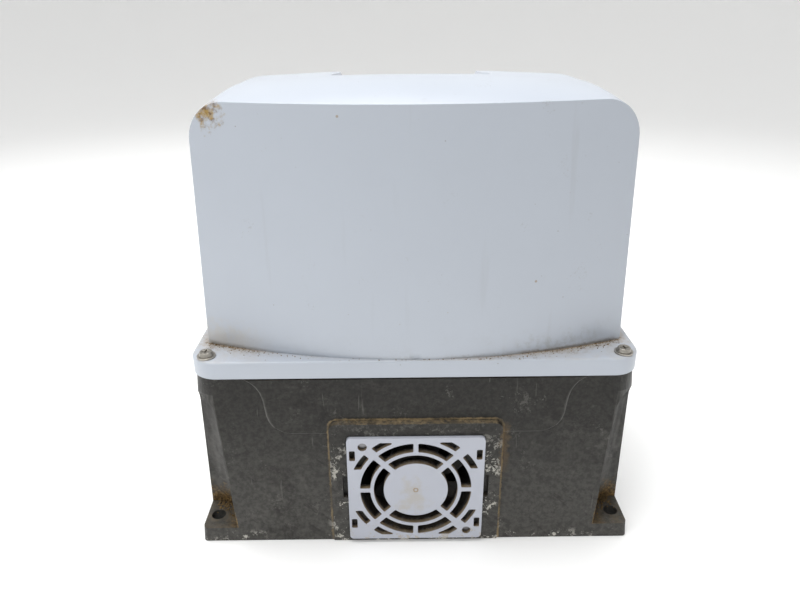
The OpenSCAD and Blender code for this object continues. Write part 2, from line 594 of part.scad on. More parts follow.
base_housing();
rim_gasket();
fan_grille();
fan_frame();
fan_rotor();
fan_screws();
cable_grommet();
gearbox_housing();
gearbox_front_plate();
gearbox_screws();
gearbox_feet_bolts();
worm_bearings();
shaft_bearings();
shaft_seal();
worm();
worm_wheel();
wheel_bush();
output_shaft();
clutch_ring();
clutch_fork();
drive_pinion();
pinion_washer();
pinion_bolt();
motor_lower_bell();
motor_stator();
motor_windings();
motor_upper_bell();
motor_tie_bolts();
motor_shaft();
motor_rotor();
run_capacitor();
capacitor_clamp();
transformer_core();
transformer_coils();
board_tray();
control_board();
relays();
terminal_blocks();
board_capacitors();
fuses();
board_chips();
open_button();
close_button();
release_pocket();
release_lever();
release_shaft();
release_door();
hinge_pin();
lock_barrel();
limit_case();
limit_lid();
limit_pin();
limit_lever();
microswitches();
hood_cover();
hood_fascia();
hood_screws();
hood_washers();
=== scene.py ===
import json
import math

import bmesh
import bpy
import mathutils
import numpy as np
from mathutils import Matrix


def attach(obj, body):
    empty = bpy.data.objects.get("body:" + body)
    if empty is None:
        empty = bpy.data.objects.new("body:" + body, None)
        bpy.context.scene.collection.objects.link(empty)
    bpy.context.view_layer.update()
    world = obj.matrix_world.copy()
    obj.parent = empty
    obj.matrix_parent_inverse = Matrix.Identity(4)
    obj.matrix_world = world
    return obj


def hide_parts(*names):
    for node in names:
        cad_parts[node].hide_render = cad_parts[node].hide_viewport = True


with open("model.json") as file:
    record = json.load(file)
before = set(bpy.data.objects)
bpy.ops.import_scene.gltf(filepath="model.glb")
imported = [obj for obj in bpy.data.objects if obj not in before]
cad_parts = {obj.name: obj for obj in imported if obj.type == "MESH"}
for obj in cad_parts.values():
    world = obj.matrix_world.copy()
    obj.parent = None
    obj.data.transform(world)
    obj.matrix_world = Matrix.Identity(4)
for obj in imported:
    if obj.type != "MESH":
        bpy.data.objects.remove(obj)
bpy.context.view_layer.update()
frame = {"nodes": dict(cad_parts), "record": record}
nodes = frame["nodes"]
mm = 0.001
weldReach = 2e-6  # metres: points nearer than this are one point
bodyOf = {node: body for body, members in frame["record"]["behaviour"]["bodies"].items() for node in members}


# Helpers for node trees. Each adds nodes to the tree it is given and hands back an output socket.
def addNode(tree, kind, **values):  # a node with its settings given by name
    node = tree.nodes.new(kind)
    for name, value in values.items():
        setattr(node, name, value)
    return node


def feed(tree, value, socket):  # a socket is linked, a number or colour is set
    if isinstance(value, bpy.types.NodeSocket):
        tree.links.new(value, socket)
    else:
        socket.default_value = value


def mathNode(tree, operation, first, second=None, third=None, clamp=False):  # one sum of up to three values
    node = addNode(tree, "ShaderNodeMath", operation=operation, use_clamp=clamp)
    for index, value in enumerate((first, second, third)):
        if value is not None:
            feed(tree, value, node.inputs[index])
    return node.outputs[0]


def times(tree, *values):  # the product of all the values
    product = values[0]
    for value in values[1:]:
        product = mathNode(tree, "MULTIPLY", product, value)
    return product


def strongest(tree, *values):  # the greatest of the values
    greatest = values[0]
    for value in values[1:]:
        greatest = mathNode(tree, "MAXIMUM", greatest, value)
    return greatest


def minus(tree, first, second):  # first less second
    return mathNode(tree, "SUBTRACT", first, second)


def magnitude(tree, value):  # the value without its sign
    return mathNode(tree, "ABSOLUTE", value)


def under(tree, value, limit):  # 1 where the value is below the limit, else 0
    return mathNode(tree, "LESS_THAN", value, limit)


def hypotenuse(tree, first, second):  # the root of the sum of two squares
    return mathNode(tree, "SQRT", mathNode(tree, "ADD", times(tree, first, first),
                                           times(tree, second, second)))


def blendColors(tree, factor, first, second, mode="MIX"):  # first, moved towards second by the factor
    node = addNode(tree, "ShaderNodeMix", data_type="RGBA", blend_type=mode, clamp_factor=True)
    feed(tree, factor, node.inputs["Factor"])
    feed(tree, first, node.inputs[6])
    feed(tree, second, node.inputs[7])
    return node.outputs[2]


def layer(tree, below, rgb, mask):  # a plain colour laid over the colours below as far as the mask allows
    return blendColors(tree, mask, below, (*rgb, 1))


def shaded(tree, base, value):  # a colour times one value, which goes into red, green and blue alike
    grey = addNode(tree, "ShaderNodeCombineColor")
    for index in range(3):
        tree.links.new(value, grey.inputs[index])
    return blendColors(tree, 1.0, base, grey.outputs[0], "MULTIPLY")


# low to high becomes outLow to outHigh along an S curve
def remap(tree, value, low, high, outLow=0.0, outHigh=1.0):
    node = addNode(tree, "ShaderNodeMapRange", interpolation_type="SMOOTHSTEP", clamp=True)
    for index, item in enumerate((value, low, high, outLow, outHigh)):
        feed(tree, item, node.inputs[index])
    return node.outputs[0]


def objectPlace(tree, scale=(1, 1, 1), shift=(0, 0, 0)):  # object coordinates times scale, plus shift
    place = addNode(tree, "ShaderNodeTexCoord")
    mapping = addNode(tree, "ShaderNodeMapping")
    mapping.inputs["Scale"].default_value = scale
    mapping.inputs["Location"].default_value = shift
    tree.links.new(place.outputs["Object"], mapping.inputs["Vector"])
    return mapping.outputs["Vector"]


def noiseNode(tree, vector, scale, detail=3.0, roughness=0.55):  # cloudy noise from 0 to 1 at a place
    node = addNode(tree, "ShaderNodeTexNoise")
    tree.links.new(vector, node.inputs["Vector"])
    feed(tree, scale, node.inputs["Scale"])
    node.inputs["Detail"].default_value = detail
    node.inputs["Roughness"].default_value = roughness
    return node.outputs["Fac"]


# noise on object coordinates
def objectNoise(tree, scale, detail=3.0, roughness=0.55, stretch=(1, 1, 1), shift=(0, 0, 0)):
    return noiseNode(tree, objectPlace(tree, stretch, shift), scale, detail, roughness)


def axisValues(tree):  # the three object coordinates as single values
    axes = addNode(tree, "ShaderNodeSeparateXYZ")
    tree.links.new(objectPlace(tree), axes.inputs[0])
    return axes.outputs


# the length of (place less centre) times stretch, in metres
def nearPoint(tree, centre, stretch=(1, 1, 1)):
    place = addNode(tree, "ShaderNodeTexCoord")
    offset = addNode(tree, "ShaderNodeVectorMath", operation="SUBTRACT")
    tree.links.new(place.outputs["Object"], offset.inputs[0])
    offset.inputs[1].default_value = centre
    scaled = addNode(tree, "ShaderNodeVectorMath", operation="MULTIPLY")
    tree.links.new(offset.outputs[0], scaled.inputs[0])
    scaled.inputs[1].default_value = stretch
    length = addNode(tree, "ShaderNodeVectorMath", operation="LENGTH")
    tree.links.new(scaled.outputs[0], length.inputs[0])
    return length.outputs["Value"]


def stretchedPlace(tree, factors):  # object coordinates, each axis times its own socket
    axes = axisValues(tree)
    drawn = addNode(tree, "ShaderNodeCombineXYZ")
    for index, factor in enumerate(factors):
        tree.links.new(times(tree, axes[index], factor), drawn.inputs[index])
    return drawn.outputs[0]


def makeGroup(name, inputs, outputs):  # an empty node group with named sockets
    group = bpy.data.node_groups.new(name, "ShaderNodeTree")
    for label, value in inputs.items():
        kind = "NodeSocketColor" if isinstance(value, tuple) else "NodeSocketFloat"
        group.interface.new_socket(name=label, in_out="INPUT", socket_type=kind).default_value = value
    for label, kind in outputs.items():
        group.interface.new_socket(name=label, in_out="OUTPUT", socket_type=kind)
    return group, group.nodes.new("NodeGroupInput").outputs, group.nodes.new("NodeGroupOutput").inputs


# a group put into a tree with its own values, spaces in names written as _
def placeGroup(tree, group, **values):
    node = addNode(tree, "ShaderNodeGroup", node_tree=group)
    for label, value in values.items():
        feed(tree, value, node.inputs[label.replace("_", " ")])
    return node.outputs


def maskOf(tree, group, **values):  # the mask that a group gives
    return placeGroup(tree, group, **values)["Mask"]


color, number = "NodeSocketColor", "NodeSocketFloat"

# cloudy colour and a fine pebbled height, for moulded or cast skins
skinGroup, take, give = makeGroup(
    "mottledSkin",
    {"Color": (0.5, 0.5, 0.5, 1), "Mottle": 0.1, "Cloud Scale": 30.0, "Grain Scale": 900.0,
     "Roughness": 0.4, "Roughness Spread": 0.1},
    {"Color": color, "Roughness": number, "Height": number})
cloud = noiseNode(skinGroup, objectPlace(skinGroup), take["Cloud Scale"], 5.0, 0.6)
pebble = noiseNode(skinGroup, objectPlace(skinGroup), take["Grain Scale"], 2.0, 0.5)
offMean = minus(skinGroup, cloud, 0.5)
shade = mathNode(skinGroup, "MULTIPLY_ADD", offMean, times(skinGroup, take["Mottle"], 2.0), 1.0)
rougher = mathNode(skinGroup, "MULTIPLY_ADD", offMean, times(skinGroup, take["Roughness Spread"], 2.0),
                   take["Roughness"], True)
skinGroup.links.new(shaded(skinGroup, take["Color"], shade), give["Color"])
skinGroup.links.new(rougher, give["Roughness"])
skinGroup.links.new(pebble, give["Height"])

# small round marks: cells of a scattered grid, some of them holding a dot
speckGroup, take, give = makeGroup("scatteredSpecks", {"Scale": 300.0, "Size": 0.2, "Share": 0.2},
                                   {"Mask": number})
cells = addNode(speckGroup, "ShaderNodeTexVoronoi", feature="F1")
speckGroup.links.new(objectPlace(speckGroup), cells.inputs["Vector"])
speckGroup.links.new(take["Scale"], cells.inputs["Scale"])
cells.inputs["Randomness"].default_value = 1.0
lucky = addNode(speckGroup, "ShaderNodeSeparateColor")
speckGroup.links.new(cells.outputs["Color"], lucky.inputs[0])
sizeHere = times(speckGroup, take["Size"], mathNode(speckGroup, "ADD", lucky.outputs[1], 0.3))
chosen = under(speckGroup, lucky.outputs[0], take["Share"])
dot = remap(speckGroup, cells.outputs["Distance"], sizeHere, times(speckGroup, sizeHere, 0.6))
speckGroup.links.new(times(speckGroup, dot, chosen), give["Mask"])

# ragged grime: full where Distance is nought, gone beyond Width, its edge broken by noise
grimeGroup, take, give = makeGroup("raggedGrime", {"Distance": 0.0, "Width": 0.01, "Break Up": 0.6,
                                                   "Scale": 250.0}, {"Mask": number})
grain = noiseNode(grimeGroup, objectPlace(grimeGroup), take["Scale"], 6.0, 0.7)
reach = mathNode(grimeGroup, "DIVIDE", take["Distance"], take["Width"])
broken = times(grimeGroup, minus(grimeGroup, grain, 0.5), times(grimeGroup, take["Break Up"], 3.0))
grimeGroup.links.new(remap(grimeGroup, mathNode(grimeGroup, "ADD", reach, broken), 1.0, 0.15), give["Mask"])

# runs: noise drawn out along the height, only its peaks kept
runGroup, take, give = makeGroup("drippedRuns", {"Across": 120.0, "Along": 8.0, "Threshold": 0.62},
                                 {"Mask": number})
streak = noiseNode(runGroup, stretchedPlace(runGroup, (take["Across"], take["Across"], take["Along"])), 1.0,
                   3.0, 0.5)
peak = mathNode(runGroup, "ADD", take["Threshold"], 0.12)
runGroup.links.new(remap(runGroup, streak, take["Threshold"], peak), give["Mask"])

# crusted patches: the peaks of a very rough noise, let through only where a slower noise allows
crustGroup, take, give = makeGroup("crustedPatches", {"Fine": 420.0, "Slow": 60.0, "Cover": 0.5},
                                   {"Mask": number})
rough = noiseNode(crustGroup, objectPlace(crustGroup), take["Fine"], 7.0, 0.75)
slow = noiseNode(crustGroup, objectPlace(crustGroup, (1, 1, 1), (0.7, 0.2, 0.4)), take["Slow"], 4.0, 0.6)
bar = minus(crustGroup, minus(crustGroup, 1.18, times(crustGroup, take["Cover"], 0.5)), slow)
crustGroup.links.new(remap(crustGroup, rough, bar, mathNode(crustGroup, "ADD", bar, 0.07)), give["Mask"])

# dust that has settled: faces that look up, patchy
dustGroup, take, give = makeGroup("settledDust", {"Amount": 0.5, "Scale": 60.0}, {"Mask": number})
facing = addNode(dustGroup, "ShaderNodeSeparateXYZ")
dustGroup.links.new(addNode(dustGroup, "ShaderNodeNewGeometry").outputs["Normal"], facing.inputs[0])
upward = remap(dustGroup, facing.outputs[2], 0.25, 0.9)
patchy = remap(dustGroup, noiseNode(dustGroup, objectPlace(dustGroup), take["Scale"], 6.0, 0.7), 0.3, 0.7)
settledHere = mathNode(dustGroup, "MULTIPLY", times(dustGroup, upward, patchy), take["Amount"], clamp=True)
dustGroup.links.new(settledHere, give["Mask"])

# tool marks: fine lines round or along one axis
toolGroup, take, give = makeGroup(
    "toolMarks",
    {"Color": (0.5, 0.5, 0.5, 1), "Fine X": 300.0, "Fine Y": 300.0, "Fine Z": 300.0, "Roughness": 0.3,
     "Stain": 0.15},
    {"Color": color, "Roughness": number, "Height": number})
lines = noiseNode(toolGroup, stretchedPlace(toolGroup, (take["Fine X"], take["Fine Y"], take["Fine Z"])),
                  1.0, 3.0, 0.6)
blotch = objectNoise(toolGroup, 45.0, 5.0, 0.6)
marked = mathNode(toolGroup, "ADD", times(toolGroup, lines, 0.5), blotch)
darker = minus(toolGroup, 1.0, times(toolGroup, marked, take["Stain"]))
toolGroup.links.new(shaded(toolGroup, take["Color"], darker), give["Color"])
toolGroup.links.new(mathNode(toolGroup, "MULTIPLY_ADD", minus(toolGroup, blotch, 0.5), 0.25,
                             take["Roughness"], True), give["Roughness"])
toolGroup.links.new(lines, give["Height"])
print("effects built")

dustTints = {"moulded": (0.32, 0.27, 0.2), "cast": (0.2, 0.17, 0.13), "grease": (0.05, 0.035, 0.02)}


# a material with its constant values on the shader's sockets
def startMaterial(name, metallic=0.0, coat=0.0, specular=0.5):
    material = bpy.data.materials.new(name)
    material.use_nodes = True
    tree = material.node_tree
    shader = tree.nodes["Principled BSDF"]
    shader.inputs["Metallic"].default_value = metallic
    shader.inputs["Coat Weight"].default_value = coat
    shader.inputs["Coat Roughness"].default_value = 0.15
    shader.inputs["Specular IOR Level"].default_value = specular
    return material, tree, shader


# a height bent into the normal, distance in metres
def addBump(tree, shader, height, strength, distance=0.0002):
    bump = addNode(tree, "ShaderNodeBump")
    bump.inputs["Strength"].default_value = strength
    bump.inputs["Distance"].default_value = distance
    tree.links.new(height, bump.inputs["Height"])
    tree.links.new(bump.outputs[0], shader.inputs["Normal"])


# roughness plus amount times the mask, kept between 0 and 1
def dulled(tree, shader, mask, amount, roughness):
    tree.links.new(mathNode(tree, "MULTIPLY_ADD", mask, amount, roughness, True), shader.inputs["Roughness"])


# skin under settled dust
def mouldedPlastic(name, rgb, roughness=0.4, mottle=0.06, grain=900.0, bump=0.15, coat=0.0, dust=0.15):
    material, tree, shader = startMaterial(name, coat=coat)
    skin = placeGroup(tree, skinGroup, Color=(*rgb, 1), Mottle=mottle, Grain_Scale=grain, Roughness=roughness)
    settled = maskOf(tree, dustGroup, Amount=dust)
    tree.links.new(layer(tree, skin["Color"], dustTints["moulded"], settled), shader.inputs["Base Color"])
    tree.links.new(skin["Roughness"], shader.inputs["Roughness"])
    addBump(tree, shader, skin["Height"], bump)
    return material


# tool marks under smeared grease
def machinedMetal(name, rgb, roughness=0.3, fine=(300, 300, 300), stain=0.15, bump=0.1, grease=0.0):
    material, tree, shader = startMaterial(name, metallic=1.0)
    marks = placeGroup(tree, toolGroup, Color=(*rgb, 1), Fine_X=fine[0], Fine_Y=fine[1], Fine_Z=fine[2],
                       Roughness=roughness, Stain=stain)
    smear = 0.0
    if grease:
        smear = remap(tree, objectNoise(tree, 70.0, 4.0), 0.75 - 0.4 * grease, 0.9 - 0.3 * grease)
    tree.links.new(layer(tree, marks["Color"], dustTints["grease"], smear), shader.inputs["Base Color"])
    tree.links.new(marks["Roughness"], shader.inputs["Roughness"])
    addBump(tree, shader, marks["Height"], bump)
    return material


# a pebbled, slightly dusty metal skin
def castMetal(name, rgb, roughness=0.5, metallic=0.9, grain=500.0, bump=0.4):
    material, tree, shader = startMaterial(name, metallic=metallic)
    skin = placeGroup(tree, skinGroup, Color=(*rgb, 1), Mottle=0.14, Cloud_Scale=40.0, Grain_Scale=grain,
                      Roughness=roughness, Roughness_Spread=0.12)
    settled = maskOf(tree, dustGroup, Amount=0.25)
    tree.links.new(layer(tree, skin["Color"], dustTints["cast"], settled), shader.inputs["Base Color"])
    tree.links.new(skin["Roughness"], shader.inputs["Roughness"])
    addBump(tree, shader, skin["Height"], bump)
    return material


hoodLook = {
    "color": (0.46, 0.497, 0.555), "roughness": 0.34, "coat": 0.2, "footZ": 0.142,
    "dirt": (0.20, 0.145, 0.085), "rust": (0.33, 0.215, 0.06), "deepRust": (0.14, 0.075, 0.025),
    "run": (0.26, 0.25, 0.24), "speck": (0.20, 0.17, 0.14), "brownSpeck": (0.30, 0.22, 0.13),
    "splash": (0.50, 0.43, 0.32), "smear": (0.27, 0.25, 0.215), "filmAndSheen": (0.24, 0.22, 0.19),
    "chip": (-0.1232, -0.0885, 0.2945), "chipReach": 0.0084,
}


def weatheredHood():  # smooth moulding with specks, faint runs, dirt along its foot and one rusty chip
    material, tree, shader = startMaterial("weatheredHood", coat=hoodLook["coat"])
    skin = placeGroup(tree, skinGroup, Color=(*hoodLook["color"], 1), Mottle=0.035, Cloud_Scale=9.0,
                      Grain_Scale=1400.0, Roughness=hoodLook["roughness"], Roughness_Spread=0.08)
    x, y, z = axisValues(tree)
    runs = maskOf(tree, runGroup, Across=90.0, Along=7.0, Threshold=0.64)
    body = layer(tree, skin["Color"], hoodLook["run"], times(tree, runs, 0.10))
    fine = maskOf(tree, speckGroup, Scale=140.0, Size=0.050, Share=0.34)
    body = layer(tree, body, hoodLook["speck"], times(tree, fine, 0.65))
    wide = maskOf(tree, speckGroup, Scale=58.0, Size=0.050, Share=0.55)
    body = layer(tree, body, hoodLook["brownSpeck"], times(tree, wide, 0.7))
    # dirt at the foot, most of it to the right
    rising = minus(tree, z, hoodLook["footZ"])
    patchwise = remap(tree, objectNoise(tree, 26.0, 4.0, 0.7), 0.40, 0.62)
    towardsRight = remap(tree, x, -0.03, 0.11, 0.15, 1.0)
    towardsLeft = remap(tree, x, -0.085, -0.128)
    uneven = times(tree, strongest(tree, patchwise, times(tree, towardsRight, 0.6)),
                   strongest(tree, towardsRight, towardsLeft))
    foot = times(tree, maskOf(tree, grimeGroup, Distance=rising, Width=0.0026, Break_Up=0.85, Scale=330.0),
                 uneven)
    body = layer(tree, body, hoodLook["dirt"], times(tree, foot, 0.75))
    splash = maskOf(tree, grimeGroup, Distance=rising, Width=0.020, Break_Up=0.9, Scale=75.0)
    body = layer(tree, body, hoodLook["splash"], times(tree, splash, towardsLeft, 0.40))
    smear = times(tree, remap(tree, objectNoise(tree, 190.0, 6.0, 0.75), 0.42, 0.62),
                  remap(tree, objectNoise(tree, 30.0, 3.0, 0.6), 0.40, 0.58))
    body = layer(tree, body, hoodLook["smear"], times(tree, smear, splash, towardsRight, 0.34))
    filmAndSheen = maskOf(tree, crustGroup, Fine=760.0, Slow=44.0, Cover=-0.06)
    body = layer(tree, body, hoodLook["filmAndSheen"], times(tree, filmAndSheen, 0.22))
    fromChip = nearPoint(tree, hoodLook["chip"], (0.8, 0.6, 0.68))
    chip = maskOf(tree, grimeGroup, Distance=fromChip, Width=hoodLook["chipReach"], Break_Up=0.95,
                  Scale=190.0)
    patches = remap(tree, objectNoise(tree, 420.0, 4.0), 0.42, 0.6)
    rusty = blendColors(tree, patches, (*hoodLook["rust"], 1), (*hoodLook["deepRust"], 1))
    tree.links.new(blendColors(tree, chip, body, rusty), shader.inputs["Base Color"])
    dulled(tree, shader, strongest(tree, foot, chip, fine), 0.45, skin["Roughness"])
    addBump(tree, shader, mathNode(tree, "MULTIPLY_ADD", chip, 3.0, skin["Height"]), 0.12, 0.0002)
    return material


flangeLook = {
    "roughness": 0.38, "dust": (0.44, 0.37, 0.28), "drift": (0.33, 0.25, 0.16),
    "grains": (0.17, 0.12, 0.07), "speck": (0.17, 0.13, 0.09),
}


# the hood's colour with dirt that thickens towards the gap at the hood's foot and towards both ends
def flangeFinish():
    material, tree, shader = startMaterial("dustyFlange", coat=hoodLook["coat"])
    skin = placeGroup(tree, skinGroup, Color=(*hoodLook["color"], 1), Mottle=0.05, Cloud_Scale=14.0,
                      Grain_Scale=1400.0, Roughness=flangeLook["roughness"], Roughness_Spread=0.1)
    gap = addNode(tree, "ShaderNodeAttribute", attribute_name="footGap").outputs["Fac"]
    x, y, z = axisValues(tree)
    towardsEnds = strongest(tree, remap(tree, x, -0.02, 0.11, 0.12, 1.0), remap(tree, x, -0.075, -0.125))
    settled = maskOf(tree, dustGroup, Amount=0.32, Scale=90.0)
    body = layer(tree, skin["Color"], flangeLook["dust"], times(tree, settled, towardsEnds))
    line = maskOf(tree, grimeGroup, Distance=gap, Width=0.0022, Break_Up=0.85, Scale=420.0)
    body = layer(tree, body, hoodLook["dirt"], times(tree, line, towardsEnds, 0.8))
    drift = maskOf(tree, grimeGroup, Distance=gap, Width=0.0085, Break_Up=0.95, Scale=260.0)
    body = layer(tree, body, flangeLook["drift"], times(tree, drift, towardsEnds, 0.45))
    grains = maskOf(tree, crustGroup, Fine=900.0, Slow=90.0, Cover=0.16)
    nearHood = remap(tree, gap, 0.014, 0.001)
    body = layer(tree, body, flangeLook["grains"], times(tree, grains, nearHood, towardsEnds, 0.85))
    marks = maskOf(tree, speckGroup, Scale=190.0, Size=0.08, Share=0.14)
    body = layer(tree, body, flangeLook["speck"], times(tree, marks, 0.5))
    tree.links.new(body, shader.inputs["Base Color"])
    dulled(tree, shader, strongest(tree, line, settled), 0.4, skin["Roughness"])
    addBump(tree, shader, skin["Height"], 0.15)
    return material


baseLook = {
    "color": (0.0225, 0.0215, 0.0192), "roughness": 0.44, "brown": (0.22, 0.14, 0.052),
    "white": (0.60, 0.58, 0.52),
    # the first colour on the next line is painted light: paler, laid towards the foot where the floor lights
    # it
    "paintedLight": (0.078, 0.075, 0.068), "rubbed": (0.085, 0.081, 0.073), "blackened": (0.014, 0.012, 0.011),
    "stroke": (0.012, 0.010, 0.009),
    # edge on the next line is the colour of the painted highlight along the upper panel's rim
    "scratch": (0.26, 0.25, 0.23), "edge": (0.22, 0.215, 0.20), "dust": (0.17, 0.13, 0.08),
    "deepEarth": (0.06, 0.036, 0.014),
    # the first colour on the next line is a painted sheen for the flutes
    "filmAndSheen": (0.19, 0.185, 0.175), "padLine": (0.30, 0.225, 0.125), "stain": (0.17, 0.11, 0.05),
    "fleck": (0.24, 0.23, 0.21),
    "fluteX": 0.1485, "fluteY": 0.1135, "fluteFootR": 0.02383, "fluteTaper": -0.0753,
    "padX": 0.0527, "padZ": 0.0927, "padCornerR": 0.0061, "strokeLean": -42,
}


# painted paler towards the foot, where the floor lights it, rubbed and blackened in patches, crossed by
# leaning strokes and fine scratches, with a painted highlight along the upper panel's rim
def handledSkinWithPaintedLight(tree, body, z):
    # painted light: the skin painted paler towards the foot, where light from the floor falls on it
    body = layer(tree, body, baseLook["paintedLight"], times(tree, remap(tree, z, 0.122, 0.0), 0.68))
    rubbed = remap(tree, objectNoise(tree, 30.0, 9.0, 0.78, (1.0, 1.0, 1.6)), 0.52, 0.72)
    body = layer(tree, body, baseLook["rubbed"], times(tree, rubbed, 0.55))
    blackened = remap(tree, objectNoise(tree, 24.0, 8.0, 0.75, shift=(0.31, 0.17, 0.55)), 0.53, 0.70)
    body = layer(tree, body, baseLook["blackened"], times(tree, blackened, 0.75))
    grit = remap(tree, objectNoise(tree, 310.0, 7.0, 0.7), 0.36, 0.64, 0.72, 1.30)
    body = shaded(tree, body, grit)
    turned, stretched = addNode(tree, "ShaderNodeMapping"), addNode(tree, "ShaderNodeMapping")
    turned.inputs["Rotation"].default_value = (0.0, math.radians(baseLook["strokeLean"]), 0.0)
    # turned first, then squeezed, so the strokes lean
    stretched.inputs["Scale"].default_value = (1.0, 1.0, 5.0)
    tree.links.new(objectPlace(tree), turned.inputs["Vector"])
    tree.links.new(turned.outputs[0], stretched.inputs["Vector"])
    strokes = remap(tree, noiseNode(tree, stretched.outputs[0], 48.0, 5.0, 0.6), 0.56, 0.66)
    strokePatch = remap(tree, objectNoise(tree, 15.0, 3.0, shift=(0.9, 0.1, 0.3)), 0.48, 0.60)
    body = layer(tree, body, baseLook["stroke"], times(tree, strokes, strokePatch, 0.50))
    scratch = remap(tree, objectNoise(tree, 42.0, 2.0, 0.4, (9.0, 9.0, 0.9), (0.3, 0.1, 0.2)), 0.71, 0.76)
    body = layer(tree, body, baseLook["scratch"], times(tree, scratch, 0.16))
    # painted highlight: a pale line along the upper panel's rim, read from its point attribute
    paintedLight = times(tree, addNode(tree, "ShaderNodeAttribute", attribute_name="rimHighlight").outputs["Fac"],
                 remap(tree, objectNoise(tree, 160.0, 4.0), 0.30, 0.60, 0.35, 1.0))
    return layer(tree, body, baseLook["edge"], times(tree, paintedLight, 0.5))


# earth heaped in the fluted corners and on the ears, a painted sheen on the flutes higher up
def earthAndSheenInCorners(tree, body, width, y, z):
    awayX, awayY = minus(tree, width, baseLook["fluteX"]), minus(tree, magnitude(tree, y), baseLook["fluteY"])
    fluteRadius = mathNode(tree, "MULTIPLY_ADD", z, baseLook["fluteTaper"], baseLook["fluteFootR"])
    onFlute = under(tree, minus(tree, hypotenuse(tree, awayX, awayY), fluteRadius), 0.0007)
    corner = times(tree, onFlute, under(tree, z, 0.1175))
    heap = maskOf(tree, grimeGroup, Distance=minus(tree, z, 0.010), Width=0.022, Break_Up=0.70, Scale=210.0)
    aboveEar = mathNode(tree, "GREATER_THAN", z, 0.0111)
    shades = remap(tree, objectNoise(tree, 520.0, 5.0, 0.7), 0.40, 0.62)
    earth = blendColors(tree, shades, (*baseLook["deepEarth"], 1), (*baseLook["brown"], 1))
    body = blendColors(tree, times(tree, corner, heap, aboveEar), body, earth)
    onEar = times(tree, under(tree, z, 0.0116), maskOf(tree, dustGroup, Amount=1.0, Scale=240.0))
    inwardEar = times(tree, remap(tree, width, 0.1375, 0.1285),
                      mathNode(tree, "GREATER_THAN", width, 0.1262), 0.9)
    towardsFlute = remap(tree, magnitude(tree, y), 0.094, 0.099)
    body = blendColors(tree, times(tree, onEar, towardsFlute, inwardEar), body, earth)
    # painted sheen: a pale grey laid over the flutes, rising from near their foot
    fluteSheen = remap(tree, objectNoise(tree, 130.0, 5.0, 0.6, (1, 1, 0.25)), 0.35, 0.65)
    return layer(tree, body, baseLook["filmAndSheen"], times(tree, corner, fluteSheen, remap(tree, z, 0.012, 0.05), 0.30))


# a tan line round the grille's pad, a stain beside it, white crust on the pad and the bottom edge
def padMarks(tree, body, x, y, z, width):
    onPad = under(tree, y, -0.105)
    patchwise = remap(tree, objectNoise(tree, 55.0, 4.0, 0.7), 0.38, 0.60, 0.25, 1.0)
    pastSide = strongest(tree, minus(tree, width, baseLook["padX"]), 0.0)
    pastTop = strongest(tree, minus(tree, z, baseLook["padZ"]), 0.0)
    fromLine = magnitude(tree, minus(tree, hypotenuse(tree, pastSide, pastTop), baseLook["padCornerR"]))
    outline = maskOf(tree, grimeGroup, Distance=fromLine, Width=0.0012, Break_Up=0.75, Scale=330.0)
    padLine = times(tree, outline, onPad, patchwise)
    body = layer(tree, body, baseLook["padLine"], times(tree, padLine, 0.9))
    stain = maskOf(tree, grimeGroup, Distance=magnitude(tree, minus(tree, x, 0.0600)), Width=0.0045,
                   Break_Up=1.0, Scale=190.0)
    stainHeight = times(tree, remap(tree, z, 0.045, 0.080), remap(tree, z, 0.099, 0.088))
    body = layer(tree, body, baseLook["stain"], times(tree, stain, stainHeight, onPad, 0.5))
    besideGrille = times(tree, remap(tree, width, 0.0640, 0.0520), remap(tree, z, 0.105, 0.050))
    lowEdge = times(tree, remap(tree, z, 0.0105, 0.0015),
                    remap(tree, objectNoise(tree, 22.0, 3.0, 0.6), 0.50, 0.62))
    crust = maskOf(tree, crustGroup, Fine=460.0, Slow=95.0, Cover=0.25)
    chalk = times(tree, crust, strongest(tree, besideGrille, lowEdge), under(tree, y, -0.1196))
    body = layer(tree, body, baseLook["white"], times(tree, chalk, 0.85))
    return body, padLine, chalk


# painted light in this casting: paler low down, a highlight along the upper panel's rim and a sheen on the
# flutes
def scuffedCasting():  # dark cast skin, handled, dusted, with earth in its corners and marks on its pad
    material, tree, shader = startMaterial("scuffedCasting", coat=0.03, specular=0.22)
    skin = placeGroup(tree, skinGroup, Color=(*baseLook["color"], 1), Mottle=0.42, Cloud_Scale=16.0,
                      Grain_Scale=650.0, Roughness=baseLook["roughness"], Roughness_Spread=0.18)
    x, y, z = axisValues(tree)
    width = magnitude(tree, x)
    body = handledSkinWithPaintedLight(tree, skin["Color"], z)
    dusty = maskOf(tree, dustGroup, Amount=0.40, Scale=170.0)
    body = layer(tree, body, baseLook["dust"], dusty)
    body = earthAndSheenInCorners(tree, body, width, y, z)
    body, padLine, chalk = padMarks(tree, body, x, y, z, width)
    flecks = maskOf(tree, crustGroup, Fine=560.0, Slow=55.0, Cover=0.0)
    tree.links.new(layer(tree, body, baseLook["fleck"], times(tree, flecks, 0.22)),
                   shader.inputs["Base Color"])
    spoilt = strongest(tree, dusty, padLine, chalk)
    dulled(tree, shader, spoilt, 0.4, skin["Roughness"])
    addBump(tree, shader, mathNode(tree, "MULTIPLY_ADD", spoilt, 0.8, skin["Height"]), 0.28, 0.0003)
    return material


grilleLook = {
    "color": (0.455, 0.475, 0.535), "tan": (0.27, 0.205, 0.125), "slotDepthDark": (0.035, 0.024, 0.014),
    "hub": (0.42, 0.36, 0.25),
    "gate": (0.28, 0.19, 0.09), "edge": (0.40, 0.33, 0.22), "speck": (0.3, 0.24, 0.16), "centreY": -0.1239,
    "centreZ": 0.0458,
}
